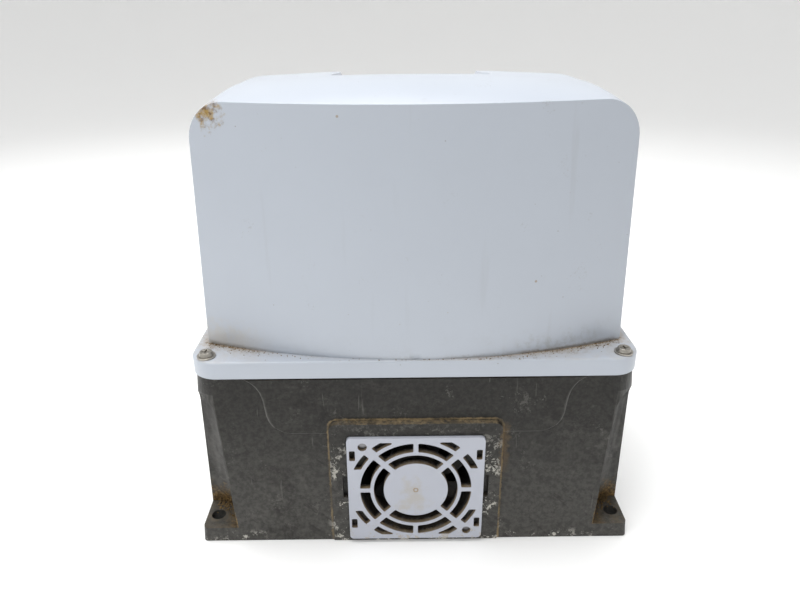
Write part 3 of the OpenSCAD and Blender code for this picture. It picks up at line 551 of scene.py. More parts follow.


# moulded skin, the slots' walls tan near the face and darker deeper in, a stained hub with the ring of
# its moulding gate, dust near the bottom edge
def dustyGrille():
    material, tree, shader = startMaterial("dustyGrille", coat=0.05)
    skin = placeGroup(tree, skinGroup, Color=(*grilleLook["color"], 1), Mottle=0.05, Cloud_Scale=30.0,
                      Grain_Scale=1600.0, Roughness=0.42, Roughness_Spread=0.1)
    x, y, z = axisValues(tree)
    width, fromMiddle = magnitude(tree, x), magnitude(tree, minus(tree, z, grilleLook["centreZ"]))
    inSlots = times(tree, under(tree, width, 0.0455), under(tree, fromMiddle, 0.0405))
    # behind the front face, on the slots' walls
    deep = times(tree, remap(tree, y, -0.12385, -0.12330), inSlots)
    filmAndSheen = remap(tree, objectNoise(tree, 300.0, 5.0, 0.7), 0.25, 0.6, 0.70, 1.0)
    # the slots' walls go from tan near the face to dark deeper in
    inner = blendColors(tree, remap(tree, y, -0.1222, -0.1196), (*grilleLook["tan"], 1),
                        (*grilleLook["slotDepthDark"], 1))
    body = blendColors(tree, times(tree, deep, filmAndSheen), skin["Color"], inner)
    fromStain = nearPoint(tree, (-0.002, grilleLook["centreY"], 0.039), (1.1, 1, 0.75))
    hub = maskOf(tree, grimeGroup, Distance=fromStain, Width=0.014, Break_Up=1.0, Scale=110.0)
    body = layer(tree, body, grilleLook["hub"], times(tree, hub, 0.42))
    fromCentre = nearPoint(tree, (0.0, grilleLook["centreY"], grilleLook["centreZ"]))
    fromRing = magnitude(tree, minus(tree, fromCentre, 0.0014))
    gate = maskOf(tree, grimeGroup, Distance=fromRing, Width=0.0008, Break_Up=0.6, Scale=700.0)
    body = layer(tree, body, grilleLook["gate"], times(tree, gate, 0.75))
    edgeDust = times(tree, maskOf(tree, crustGroup, Fine=520.0, Slow=120.0, Cover=0.20),
                     remap(tree, z, 0.022, 0.004))
    body = layer(tree, body, grilleLook["edge"], times(tree, edgeDust, 0.6))
    marks = maskOf(tree, speckGroup, Scale=210.0, Size=0.08, Share=0.18)
    tree.links.new(layer(tree, body, grilleLook["speck"], times(tree, marks, 0.4)),
                   shader.inputs["Base Color"])
    dulled(tree, shader, deep, 0.4, skin["Roughness"])
    addBump(tree, shader, skin["Height"], 0.12)
    return material


finishes = {
    "hood": weatheredHood(), "flange": flangeFinish(), "casting": scuffedCasting(), "grille": dustyGrille(),
    "blackPlastic": mouldedPlastic("blackPlastic", (0.018, 0.018, 0.019), 0.45, dust=0.35),
    "rubber": mouldedPlastic("softRubber", (0.014, 0.013, 0.013), 0.7, 0.1, 700.0, 0.3, dust=0.25),
    "bareCasting": castMetal("bareCasting", (0.52, 0.52, 0.51)),
    "plated": machinedMetal("platedFasteners", (0.50, 0.47, 0.42), 0.36, stain=0.3),
    "turnedY": machinedMetal("turnedShaft", (0.52, 0.52, 0.53), 0.24, (60, 1400, 60)),
    "turnedZ": machinedMetal("groundShaft", (0.50, 0.50, 0.52), 0.22, (60, 60, 1400), grease=0.3),
    "bearingSteel": machinedMetal("bearingSteel", (0.62, 0.62, 0.63), 0.16, (40, 900, 40), 0.08),
    "pinionSteel": machinedMetal("greasedPinion", (0.30, 0.30, 0.30), 0.34, (1200, 40, 1200), 0.3, 0.2, 0.7),
    "bronze": machinedMetal("gearBronze", (0.62, 0.40, 0.16), 0.30, (500, 60, 500), 0.25, 0.15, 0.5),
    "darkSteel": machinedMetal("hardenedSteel", (0.26, 0.26, 0.27), 0.32, (200, 900, 200), 0.2, 0.15, 0.4),
    "laminations": machinedMetal("stackedLaminations", (0.17, 0.17, 0.18), 0.45, (20, 20, 2400), 0.2, 0.9),
    "copper": machinedMetal("varnishedCopper", (0.50, 0.17, 0.05), 0.28, (90, 90, 2600), 0.3, 1.0),
    "whiteCan": mouldedPlastic("whiteCan", (0.72, 0.72, 0.69), 0.3, 0.04, 1100.0, 0.1, 0.2, 0.3),
    "tape": mouldedPlastic("yellowTape", (0.55, 0.44, 0.06), 0.38, 0.08, 500.0, 0.3),
    "board": mouldedPlastic("greenBoard", (0.012, 0.10, 0.04), 0.32, 0.25, 300.0, 0.25, 0.4, 0.2),
    "relayBlue": mouldedPlastic("relayBlue", (0.02, 0.05, 0.26), 0.3, coat=0.2),
    "terminalGreen": mouldedPlastic("terminalGreen", (0.04, 0.28, 0.10), 0.4),
    "redPlastic": mouldedPlastic("redPlastic", (0.50, 0.03, 0.02), 0.35, coat=0.2),
    "redPaint": mouldedPlastic("redPaint", (0.48, 0.03, 0.015), 0.34, 0.12, 500.0, 0.3, 0.3, 0.3),
    "brassLock": machinedMetal("nickelLock", (0.62, 0.58, 0.50), 0.25, (600, 60, 600), 0.2),
    "fasciaGloss": mouldedPlastic("fasciaGloss", (0.035, 0.04, 0.05), 0.16, 0.05, 1500.0, 0.05, 0.6, 0.2),
    "ceramicFuse": mouldedPlastic("fuseGlass", (0.75, 0.76, 0.74), 0.12, 0.03, 900.0, 0.05, 0.5, 0.05),
    "soil": mouldedPlastic("drySoil", (0.17, 0.11, 0.045), 0.9, 0.6, 300.0, 0.5, dust=0.0),
}
nodesOfFinish = {
    "hood": "hood_cover", "grille": "fan_grille", "casting": "base_housing release_door",
    "fasciaGloss": "hood_fascia",
    "rubber": "rim_gasket cable_grommet shaft_seal", "bearingSteel": "worm_bearings shaft_bearings",
    "bronze": "worm_wheel wheel_bush",
    "blackPlastic": "fan_frame fan_rotor capacitor_clamp board_tray board_capacitors "
                    "board_chips release_pocket limit_case limit_lid microswitches",
    "bareCasting": "gearbox_housing gearbox_front_plate motor_lower_bell motor_upper_bell",
    "plated": "gearbox_screws gearbox_feet_bolts clutch_fork pinion_washer pinion_bolt motor_tie_bolts "
              "hinge_pin limit_pin hood_screws hood_washers",
    "darkSteel": "fan_screws worm clutch_ring", "turnedY": "output_shaft release_shaft limit_lever",
    "turnedZ": "motor_shaft",
    "pinionSteel": "drive_pinion", "laminations": "motor_stator motor_rotor transformer_core",
    "copper": "motor_windings",
    "whiteCan": "run_capacitor", "tape": "transformer_coils", "board": "control_board",
    "relayBlue": "relays", "terminalGreen": "terminal_blocks",
    "ceramicFuse": "fuses", "redPlastic": "open_button close_button", "redPaint": "release_lever",
    "brassLock": "lock_barrel",
}
nodeFinish = {node: finish for finish, members in nodesOfFinish.items() for node in members.split()}
for name, finish in nodeFinish.items():
    for slot in nodes[name].material_slots:
        slot.material = finishes[finish]
print("finishes built:", len(finishes))


# grids of points joined in fours, welded where they meet; a grid may close across or along itself
def buildMesh(name, patches, sharpAngle=40):
    points, quads, start = [], [], 0
    for grid, closedAcross, closedAlong in patches:
        rows, columns = grid.shape[:2]
        index = np.arange(rows * columns).reshape(rows, columns) + start
        if closedAlong:
            index = np.vstack([index, index[:1]])
        if closedAcross:
            index = np.hstack([index, index[:, :1]])
        quads.append(np.stack([index[:-1, :-1], index[:-1, 1:], index[1:, 1:], index[1:, :-1]],
                              -1).reshape(-1, 4))
        points.append(grid.reshape(-1, 3))
        start += rows * columns
    points, quads = np.vstack(points) * mm, np.vstack(quads)
    mesh = bpy.data.meshes.new(name)
    mesh.vertices.add(len(points))
    mesh.vertices.foreach_set("co", points.ravel())
    mesh.loops.add(quads.size)
    mesh.loops.foreach_set("vertex_index", quads.ravel())
    mesh.polygons.add(len(quads))
    mesh.polygons.foreach_set("loop_start", np.arange(0, quads.size, 4))
    mesh.update(calc_edges=True)
    work = bmesh.new()
    work.from_mesh(mesh)
    bmesh.ops.remove_doubles(work, verts=work.verts, dist=weldReach)
    bmesh.ops.recalc_face_normals(work, faces=work.faces)
    work.to_mesh(mesh)
    work.free()
    return smoothed(mesh, sharpAngle)


# smooth shading with a hard edge wherever two faces meet at more than the angle
def smoothed(mesh, sharpAngle):
    mesh.polygons.foreach_set("use_smooth", np.ones(len(mesh.polygons), bool))
    mesh.set_sharp_from_angle(angle=math.radians(sharpAngle))
    return mesh


def pointsOf(mesh):  # a mesh's points in millimetres
    points = np.empty(len(mesh.vertices) * 3)
    mesh.vertices.foreach_get("co", points)
    return points.reshape(-1, 3) / mm


# a mesh made an object that rides on a body, with its finish
def addPiece(name, mesh, finish, body, replaced=()):
    mesh.materials.clear()
    mesh.materials.append(finishes[finish])
    piece = bpy.data.objects.new(name, mesh)
    bpy.context.scene.collection.objects.link(piece)
    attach(piece, body)
    if replaced:
        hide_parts(*replaced)
    return piece


def roundEdges(piece, width, angle=32, segments=2):  # edges sharper than the angle are rounded to the width
    bevel = piece.modifiers.new("roundedEdges", "BEVEL")
    bevel.width = width
    bevel.segments = segments
    bevel.limit_method = "ANGLE"
    bevel.angle_limit = math.radians(angle)
    bevel.harden_normals = True


# the same solid, merged, with its edges rounded off
def softenedCopy(node, width, name, throughRound=0.0, angle=32):
    mesh = nodes[node].data.copy()
    work = bmesh.new()
    work.from_mesh(mesh)
    bmesh.ops.remove_doubles(work, verts=work.verts, dist=weldReach)
    bmesh.ops.dissolve_limit(work, angle_limit=math.radians(0.6), verts=work.verts, edges=work.edges)
    if throughRound:  # the corners of slots cut front to back
        corners = [edge for edge in work.edges if len(edge.link_faces) == 2 and edge.calc_face_angle() > 0.6
                   and abs((edge.verts[1].co - edge.verts[0].co).normalized().y) > 0.99
                   and edge.calc_length() > 0.003]
        bmesh.ops.bevel(work, geom=corners, offset=throughRound, offset_type="OFFSET", segments=4,
                        profile=0.5, affect="EDGES", clamp_overlap=False)
        print(node, "slot corners rounded:", len(corners))
    work.to_mesh(mesh)
    work.free()
    piece = addPiece(name, smoothed(mesh, angle), nodeFinish[node], bodyOf[node], (node,))
    roundEdges(piece, width, angle)


hood = {
    "halfWidth": 139.5, "sideDraft": 3.9, "lean": 6.3, "bow": 26.6, "footZ": 142.0, "edgeZ": 300.0,
    "cornerR": 24.0, "midY": 114.0,
    "crown": 10.6, "crownHalf": 133.0, "ridgeAt": 58.0, "ridgeFall": 47.0, "shoulder": 5.2,
    "shoulderDrop": 2.6, "shoulderFrom": 56.0,
    "frontFall": 5.5, "wall": 3.5, "edgeRound": 2.6,
}


def smooth(value, low, high):  # 0 below low, 1 above high, an S curve between: three squares less two cubes
    t = np.clip((value - low) / (high - low), 0, 1)
    return t * t * (3 - 2 * t)


def risen(z):  # how far up the hood a height is, 0 at its foot and 1 at its top edge
    return (z - hood["footZ"]) / (hood["edgeZ"] - hood["footZ"])


def hoodSide(z):  # half the hood's width, which shrinks evenly as it rises
    return hood["halfWidth"] - hood["sideDraft"] * risen(z)


def hoodFace(x, z):  # a bowed face that leans in as it rises: middle depth less a parabola in x
    return hood["midY"] - hood["lean"] * risen(z) - hood["bow"] * (x / hood["halfWidth"]) ** 2


# the higher of two, both sinking towards the far face: a ridge, which is an arch across times a rise and a
# fall along, and a shoulder, which is flat beyond its step on each side and starts at the ridge
def crownHeight(x, back):
    arch = np.clip(1 - np.abs(x / hood["crownHalf"]) ** 2.4, 0, 1) ** 0.8
    rise = 1 - (1 - np.clip(back / hood["ridgeAt"], 0, 1)) ** 2.2
    fall = 1 - smooth(back, hood["ridgeAt"] + 3, hood["ridgeAt"] + 3 + hood["ridgeFall"])
    sink = hood["frontFall"] * smooth(back, 110, 215)
    ridge = hood["crown"] * arch * rise * fall
    aside = smooth(np.abs(x), hood["shoulderFrom"] - 1.2, hood["shoulderFrom"] + 1.2)
    level = hood["shoulder"] - hood["shoulderDrop"] * smooth(np.abs(x), 60, 128)
    plateau = level * aside * smooth(back, 62, 86)
    return np.maximum(ridge, plateau) - sink


# half an outline, up the side, round the corner and in to the middle, then the same mirrored
def hoodArch():
    bottom, turnFrom = hood["footZ"] - 1, hood["edgeZ"] - hood["cornerR"]
    rise = np.linspace(bottom, turnFrom, 30)
    side = np.stack([hoodSide(rise), rise], 1)
    turn = np.linspace(0, math.pi / 2, 13)[1:]
    topX = hoodSide(turnFrom) - hood["cornerR"]
    arc = np.stack([topX + hood["cornerR"] * np.cos(turn), turnFrom + hood["cornerR"] * np.sin(turn)], 1)
    step = hood["shoulderFrom"]  # points lie closer together there
    half = np.concatenate([np.linspace(topX, step + 4, 12)[1:], step + np.array([2.4, 1.2, 0, -1.2, -2.6]),
                           np.linspace(step - 6, 0, 11)])
    top = np.stack([half, np.full(len(half), hood["edgeZ"])], 1)
    right = np.vstack([side, arc, top])
    arch = np.vstack([right, right[-2::-1] * [-1, 1]])
    return arch[:, 0], arch[:, 1]


# the arch carried from the back face to the front one and raised by the crown; each face is the arch
# drawn in to its foot
def hoodBody():
    bottom = hood["footZ"] - 1
    x, z = hoodArch()
    reach = np.concatenate([[0, 0.028, 0.06], np.linspace(0.09, 0.91, 60), [0.94, 0.972, 1]])[:, None]
    y = hoodFace(x, z)[None] * (2 * reach - 1)
    back = y + hoodFace(x, z)[None]
    onTop = smooth(z, hood["edgeZ"] - 17, hood["edgeZ"] - 2)[None]
    height = z[None] + crownHeight(x[None], back) * onTop
    shell = np.stack([np.broadcast_to(x, y.shape), y, height], -1)
    inward = np.concatenate([[0, 0.032], np.linspace(0.07, 1, 26)])[:, None]
    faceX, faceZ = x[None] * (1 - inward), bottom + (z[None] - bottom) * (1 - inward)
    rear = np.stack([faceX, -hoodFace(faceX, faceZ), faceZ], -1)
    frontZ = faceZ + (height[-1][None] - z[None]) * (1 - inward) ** 3
    front = np.stack([faceX, hoodFace(faceX, faceZ), frontZ], -1)
    return buildMesh("hoodBody", [(shell, False, False), (rear, False, False), (front, False, False)],
                     sharpAngle=70)


hoodPiece = addPiece("hoodShell", hoodBody(), "hood", "cover", ("hood_cover",))
roundEdges(hoodPiece, hood["edgeRound"] * mm, 38, 4)
wall = hoodPiece.modifiers.new("wall", "SOLIDIFY")
wall.thickness, wall.offset = hood["wall"] * mm, -1
print("hood shell made")

flange = {"halfX": 147.0, "halfY": 116.0, "cornerR": 18.0, "bottomZ": 130.0, "topZ": 142.0, "edge": 1.6,
          "perCorner": 14, "perSide": 40}


# a quarter of an outline, mirrored into the other three and walked round as one loop
def fourQuarters(quarter):
    return np.vstack([quarter, quarter[-2:0:-1] * [-1, 1], quarter * [-1, -1], quarter[-2:0:-1] * [1, -1]])


# a rounded rectangle: up the right side, a quarter circle, then along the top to the middle
def plateLoop(halfX, halfY, r):
    turn, perSide = np.linspace(0, math.pi / 2, flange["perCorner"]), flange["perSide"]
    corner = np.stack([halfX - r + r * np.cos(turn), halfY - r + r * np.sin(turn)], 1)
    upSide = np.stack([np.full(perSide // 2, halfX),
                       np.linspace(0, halfY - r, perSide // 2, endpoint=False)], 1)
    across = np.stack([np.linspace(halfX - r, 0, perSide)[1:], np.full(perSide - 1, halfY)], 1)
    return fourQuarters(np.vstack([upSide, corner, across]))


def hoodLoop(inset):  # the hood's outline at its foot, moved inwards, in the same steps as the plate's
    w = hood["halfWidth"] - inset
    yEnd = float(hoodFace(w, hood["footZ"])) - inset
    turn, perSide = np.linspace(0, 1, flange["perCorner"]), flange["perSide"]
    corner = np.stack([w - 2 * turn**2, yEnd - 2 * (1 - turn) ** 2], 1)
    upSide = np.stack([np.full(perSide // 2, w), np.linspace(0, yEnd - 2, perSide // 2, endpoint=False)], 1)
    xs = np.linspace(w - 2, 0, perSide)[1:]
    across = np.stack([xs, hoodFace(xs, hood["footZ"]) - inset], 1)
    return fourQuarters(np.vstack([upSide, corner, across]))


# loops up the plate's outer edge, over a quarter circle, straight in to the hood's opening and down inside
def flangeGrid():
    halfX, halfY, cornerR, edge, topZ = (flange[key] for key in ("halfX", "halfY", "cornerR", "edge", "topZ"))
    loops = [(plateLoop(halfX, halfY, cornerR), flange["bottomZ"]),
             (plateLoop(halfX, halfY, cornerR), topZ - edge)]
    for angle in np.linspace(0, math.pi / 2, 6)[1:]:
        inset = edge * (1 - math.cos(angle))
        loops.append((plateLoop(halfX - inset, halfY - inset, cornerR - inset),
                      topZ - edge * (1 - math.sin(angle))))
    outer, inner = loops[-1][0], hoodLoop(hood["wall"])
    loops += [(outer + (inner - outer) * t, topZ) for t in np.linspace(0, 1, 18)[1:]]
    loops.append((inner, flange["bottomZ"]))
    return np.stack([np.column_stack([loop, np.full(len(loop), z)]) for loop, z in loops])


# the distance to the hood's foot: to its face inside its width, to its corner beyond, and 12 mm more on
# the flange's sides and underneath
def footGap(points):
    x, y, z = np.abs(points[:, 0]), np.abs(points[:, 1]), points[:, 2]
    toFace = np.minimum(np.abs(hoodFace(x, hood["footZ"]) - y), 60)
    toCorner = np.hypot(x - hood["halfWidth"], np.maximum(y - hoodFace(hood["halfWidth"], hood["footZ"]), 0))
    gap = np.where(x > hood["halfWidth"], toCorner, toFace)
    return np.where(z < flange["topZ"] - 0.5, gap + 12, gap)


mesh = buildMesh("flange", [(flangeGrid(), True, True)], sharpAngle=50)
mesh.attributes.new("footGap", "FLOAT", "POINT").data.foreach_set("value", footGap(pointsOf(mesh)) * mm)
addPiece("hoodFlange", mesh, "flange", "cover")
print("flange made")

panel = {
    "bottomZ": 87.6, "topZ": 128.8, "proud": 0.8, "slope": 1.5,
    "sideAtZ": [87.6, 88.3, 90, 93, 97, 102, 108, 114, 119, 123, 126, 129],
    "sideX": [72, 84, 90, 95, 97.8, 99.4, 100.2, 101, 102.5, 104.8, 107.5, 112],
}


def wallY(z):  # the wall on the fan's side, which leans out evenly towards the floor
    return -(120.5 - 5.5 * z / 129.2)


# a field lifted off the wall by an S curve of the distance to its rim, its width a curve through the given
# points, closed back into the wall round the rim
def upperPanel():
    z = np.concatenate([np.linspace(panel["bottomZ"], 92, 14)[:-1], np.linspace(92, panel["topZ"], 42)])
    halfWidth = np.interp(z, panel["sideAtZ"], panel["sideX"])
    nearEdge = np.array([0.985, 0.99, 0.995, 0.9985, 1.0])
    across = np.concatenate([-nearEdge[::-1], np.linspace(-0.975, 0.975, 60), nearEdge])
    x = halfWidth[:, None] * across[None]
    fromSide = halfWidth[:, None] - np.abs(x)
    fromFoot = (z - panel["bottomZ"])[:, None]
    lift = smooth(np.minimum(fromSide, fromFoot), 0, panel["slope"]) * panel["proud"]
    y = wallY(z)[:, None] - lift + 0.05
    face = np.stack([x, y, np.broadcast_to(z[:, None], x.shape)], -1)
    behind = face.copy()
    behind[..., 1] = wallY(z)[:, None] + 1.0
    rim = [np.stack([face[edge], behind[edge]]) for edge in (np.s_[0], np.s_[-1], np.s_[:, 0], np.s_[:, -1])]
    mesh = buildMesh("upperPanel", [(grid, False, False) for grid in (face, behind, *rim)], sharpAngle=60)
    place = pointsOf(mesh)
    fromEdge = np.interp(place[:, 2], z, halfWidth) - np.abs(place[:, 0])
    fromRim = np.minimum(fromEdge, place[:, 2] - panel["bottomZ"])
    # a painted highlight along the panel's rim, stored as a point attribute for the casting's colour
    rimHighlightMask = np.clip(1 - np.abs(fromRim - 0.8) / 0.9, 0, 1) * (0.3 + 0.7 * smooth(np.abs(place[:, 0]), 76, 90))
    mesh.attributes.new("rimHighlight", "FLOAT", "POINT").data.foreach_set("value", rimHighlightMask)
    return mesh


addPiece("upperPanel", upperPanel(), "casting", "base")

softEdges = {  # how far each part's edges are rounded, in millimetres
    "gearbox_housing": 1.2, "gearbox_front_plate": 1.0, "motor_lower_bell": 1.2, "motor_upper_bell": 1.5,
    "release_door": 0.8,
    "release_lever": 1.5, "hood_screws": 0.25, "hood_washers": 0.2, "lock_barrel": 0.3, "limit_case": 0.7,
    "limit_lid": 0.6,
    "release_pocket": 0.8, "fan_frame": 0.5, "relays": 0.6, "terminal_blocks": 0.4,
    "transformer_coils": 2.5, "transformer_core": 0.6,
    "run_capacitor": 0.8, "capacitor_clamp": 0.6, "board_chips": 0.3, "board_capacitors": 0.8,
    "hood_fascia": 0.6, "clutch_ring": 0.5,
    "clutch_fork": 0.5, "limit_lever": 0.5, "pinion_bolt": 0.4, "pinion_washer": 0.3, "output_shaft": 0.5,
    "motor_shaft": 0.5,
    "cable_grommet": 0.6, "board_tray": 0.5,
}
softenedCopy("base_housing", 1.1 * mm, "baseCasting")
softenedCopy("fan_grille", 0.35 * mm, "fanGrille", throughRound=0.9 * mm)
for node, width in softEdges.items():
    softenedCopy(node, width * mm, node + "Soft")
print("castings and mouldings rounded")

rotor = {
    "hubR": 17.0, "tipR": 36.4, "blades": 7, "frontY": -108.4, "depth": 17.8, "z": 45.8, "rootPitch": 52,
    "twist": 22,
    "hubRadii": [0.01, 8, 14.5, 16.4, 17, 17, 2.4, 2.3, 0.01],
    "hubHeights": [0, 0, 0, 0.6, 2.0, 17.8, 17.8, 3, 3],
}


def latheSurface(radii, heights, count=64):  # a profile of radius against height, turned full circle
    turn = np.linspace(0, 2 * math.pi, count, endpoint=False)
    r, h = np.asarray(radii, float)[:, None], np.asarray(heights, float)[:, None]
    return np.stack([r * np.cos(turn), r * np.sin(turn), np.broadcast_to(h, (len(radii), count))], -1)


def alongY(grid, centre):  # a shape made round +Z is laid along +Y and moved to its centre
    return np.stack([grid[..., 0] + centre[0], grid[..., 2] + centre[1], -grid[..., 1] + centre[2]], -1)


# a turned hub, and blades: a section is a lens, half the chord times a cosine long and a sine thick, tilted
# by a pitch that falls evenly from root to tip and swept back by a power of the radius
def fanRotorMesh():
    hub = alongY(latheSurface(rotor["hubRadii"], rotor["hubHeights"]), (0, rotor["frontY"], rotor["z"]))
    patches = [(hub, True, False)]
    out = np.linspace(0, 1, 14)[:, None]
    turn = np.linspace(0, 2 * math.pi, 18, endpoint=False)[None]
    radius = rotor["hubR"] - 1 + (rotor["tipR"] - rotor["hubR"] + 1) * out
    pitch = np.radians(rotor["rootPitch"] - rotor["twist"] * out)
    chord = 9.0 + 4.0 * np.sin(out * 2.4)
    along = 0.5 * chord * np.cos(turn)
    thick = 0.75 * np.sin(turn) + 1.3 * (1 - np.cos(turn) ** 2) * 0.8
    swing = along * np.cos(pitch) - thick * np.sin(pitch)
    fromMiddle = np.clip(along * np.sin(pitch) + thick * np.cos(pitch), -8.6, 8.6)
    depth = fromMiddle + rotor["frontY"] + rotor["depth"] / 2
    sweep = 0.32 * out**1.3
    for k in range(rotor["blades"]):
        angle = k * 2 * math.pi / rotor["blades"] + swing / radius + sweep
        blade = np.stack([radius * np.cos(angle), depth + 0 * angle, radius * np.sin(angle) + rotor["z"]], -1)
        root, tip = (np.broadcast_to(blade[end].mean(0), blade[end].shape)[None] for end in (0, -1))
        patches.append((np.concatenate([root, blade, tip]), True, False))
    return buildMesh("fanRotor", patches, sharpAngle=50)


addPiece("fanBlades", fanRotorMesh(), "blackPlastic", "fan", ("fan_rotor",))

pinion = {
    "teeth": 16, "module": 4.0, "pressure": 20.0, "x": -45.0, "z": 85.0, "frontY": 126.0, "width": 28.0,
    "chamfer": 0.8,
    "bore": 12.02, "collarY": 121.0, "collarR": 20.0, "perFlank": 9,
}


# a tooth is two involute flanks between root and tip, repeated round the wheel: at a radius, a flank has
# turned by the tangent of its pressure angle less the angle
def involuteLoop(shrink=0.0):
    module, teeth, pressure = pinion["module"], pinion["teeth"], math.radians(pinion["pressure"])
    pitchR = module * teeth / 2
    tipR, rootR, baseR = pitchR + module - shrink, pitchR - 1.25 * module, pitchR * math.cos(pressure)
    halfTooth = math.pi / (2 * teeth) - 0.006 - shrink / pitchR * 0.6
    r = np.linspace(max(baseR, rootR) + 0.02, tipR, pinion["perFlank"])
    unroll = np.sqrt(np.maximum((r / baseR) ** 2 - 1, 0))
    drift = unroll - np.arctan(unroll) - (math.tan(pressure) - pressure)
    right = np.stack([r, -(halfTooth - drift)], 1)
    rootAngle = math.pi / teeth
    rootTurn = [-rootAngle, -(rootAngle * 0.55 + halfTooth * 0.45) - 0.02, -halfTooth - 0.028]
    root = np.stack([[rootR, rootR, rootR + 0.35], rootTurn], 1)
    flank = np.vstack([root, right, [[tipR, 0]]])
    tooth = np.vstack([flank, flank[-2:0:-1] * [1, -1]])
    angles = (tooth[:, 1][None] + np.arange(teeth)[:, None] * 2 * math.pi / teeth).ravel()
    radii = np.tile(tooth[:, 0], teeth)
    return np.stack([radii * np.cos(angles), radii * np.sin(angles)], 1)


# the toothed outline carried along the shaft with chamfered ends, and a turned collar behind it
def pinionMesh():
    teeth, chamfered = involuteLoop(), involuteLoop(pinion["chamfer"])
    turn = np.arctan2(teeth[:, 1], teeth[:, 0])
    backY, frontY, chamfer = pinion["frontY"], pinion["frontY"] + pinion["width"], pinion["chamfer"]
    collarY, collarR, bore = pinion["collarY"], pinion["collarR"], pinion["bore"]
    unit = np.stack([np.cos(turn), np.sin(turn)], 1)
    collar = [(bore * unit, collarY), ((collarR - 0.8) * unit, collarY), (collarR * unit, collarY + 0.8),
              (collarR * unit, backY)]
    toothed = [(chamfered, backY), (teeth, backY + chamfer), (teeth, frontY - chamfer), (chamfered, frontY)]
    hub = [(collarR * unit, frontY), ((collarR - 0.6) * unit, frontY - 0.6),
           ((bore + 1.2) * unit, frontY - 0.6), (bore * unit, frontY - 1.6)]
    grid = np.stack([np.column_stack([loop[:, 0] + pinion["x"], np.full(len(turn), y),
                                      loop[:, 1] + pinion["z"]]) for loop, y in collar + toothed + hub])
    return buildMesh("drivePinion", [(grid, True, True)], sharpAngle=35)


addPiece("drivePinion", pinionMesh(), "pinionSteel", "output", ("drive_pinion",))
print("rotor and pinion made")

spring = {"turns": 9, "wire": 0.8, "radius": 4.1, "fromY": 153.5, "toY": 168.5, "x": -108.0, "z": 92.0}


def coilMesh():  # a round wire carried along a helix about the lever's arm, its ends closed to a point
    along = np.linspace(0, 1, spring["turns"] * 20)
    turn = 2 * math.pi * spring["turns"] * along
    outward = np.stack([np.cos(turn), 0 * turn, np.sin(turn)], 1)
    middle = np.stack([0 * turn + spring["x"], spring["fromY"] + (spring["toY"] - spring["fromY"]) * along,
                       0 * turn + spring["z"]], 1)
    centre = middle + spring["radius"] * outward
    aroundWire = np.linspace(0, 2 * math.pi, 10, endpoint=False)[None, :, None]
    thickness = spring["wire"] * np.clip(np.minimum(along, 1 - along) * 60, 0.01, 1)[:, None, None]
    section = outward[:, None] * np.cos(aroundWire) + np.array([0, 1, 0])[None, None] * np.sin(aroundWire)
    return buildMesh("limitSpring", [(centre[:, None] + thickness * section, True, False)], sharpAngle=60)


addPiece("limitSpring", coilMesh(), "turnedY", "limit")

crumbs = {
    "seed": 11, "drift": 2.2, "spread": 1.6,
    "onFlange": 520, "flangeSize": (0.14, 0.50), "flangeEndX": 138, "flangeEdgeY": 114.5,
    "rightSpread": 48, "leftSpread": 22, "rightBias": 0.25, "nearShare": 0.72,
    "inCorners": 700, "cornerSize": (0.25, 0.95), "earTopZ": 11, "fluteX": 148.5, "fluteY": 113.5,
    "fluteR": 22.7, "arcFrom": 192, "arcTo": 262, "farShare": 0.35,
}


# a crumb is a solid of twenty faces, its corners pushed out by chance, stretched, and turned about the height
def crumbCloud(centres, sizes, rng):
    g = (1 + 5**0.5) / 2
    corners = np.array([[-1, g, 0], [1, g, 0], [-1, -g, 0], [1, -g, 0], [0, -1, g], [0, 1, g],
                        [0, -1, -g], [0, 1, -g], [g, 0, -1], [g, 0, 1], [-g, 0, -1], [-g, 0, 1]]) / 1.9
    faces = np.array([[0, 11, 5], [0, 5, 1], [0, 1, 7], [0, 7, 10], [0, 10, 11], [1, 5, 9], [5, 11, 4],
                      [11, 10, 2], [10, 7, 6], [7, 1, 8],
                      [3, 9, 4], [3, 4, 2], [3, 2, 6], [3, 6, 8], [3, 8, 9], [4, 9, 5], [2, 4, 11],
                      [6, 2, 10], [8, 6, 7], [9, 8, 1]])
    count = len(centres)
    rough, stretch = rng.uniform(0.65, 1.3, (count, 12, 1)), rng.uniform(0.6, 1.2, (count, 1, 3))
    blobs = corners[None] * rough * stretch * np.asarray(sizes)[:, None, None]
    angle = rng.uniform(0, 2 * math.pi, count)[:, None]
    turned = np.stack([blobs[..., 0] * np.cos(angle) - blobs[..., 1] * np.sin(angle),
                       blobs[..., 0] * np.sin(angle) + blobs[..., 1] * np.cos(angle), blobs[..., 2]], -1)
    points = (turned + np.asarray(centres)[:, None]).reshape(-1, 3) * mm
    index = (faces[None] + np.arange(count)[:, None, None] * 12).reshape(-1, 3)
    mesh = bpy.data.meshes.new("crumbs")
    mesh.from_pydata(points.tolist(), [], index.tolist())
    return mesh


# crumbs along the hood's foot, thickest at both ends of the flange and thinning away from the face
def flangeGrit(rng):
    count = crumbs["onFlange"]
    side = np.sign(rng.uniform(-1, 1, count) + crumbs["rightBias"])
    spread, end = np.where(side > 0, crumbs["rightSpread"], crumbs["leftSpread"]), crumbs["flangeEndX"]
    x = np.clip(side * (end - rng.exponential(spread, count)), -end - 1, end + 1)
    grain = rng.uniform(*crumbs["flangeSize"], count)
    face = np.where(rng.uniform(0, 1, count) < crumbs["nearShare"], -1, 1)
    outward = hoodFace(x, hood["footZ"]) + grain * 0.5 + rng.exponential(crumbs["drift"], count)
    y = face * np.minimum(outward, crumbs["flangeEdgeY"])
    return crumbCloud(np.stack([x, y, flange["topZ"] + grain * 0.25], 1), grain, rng)


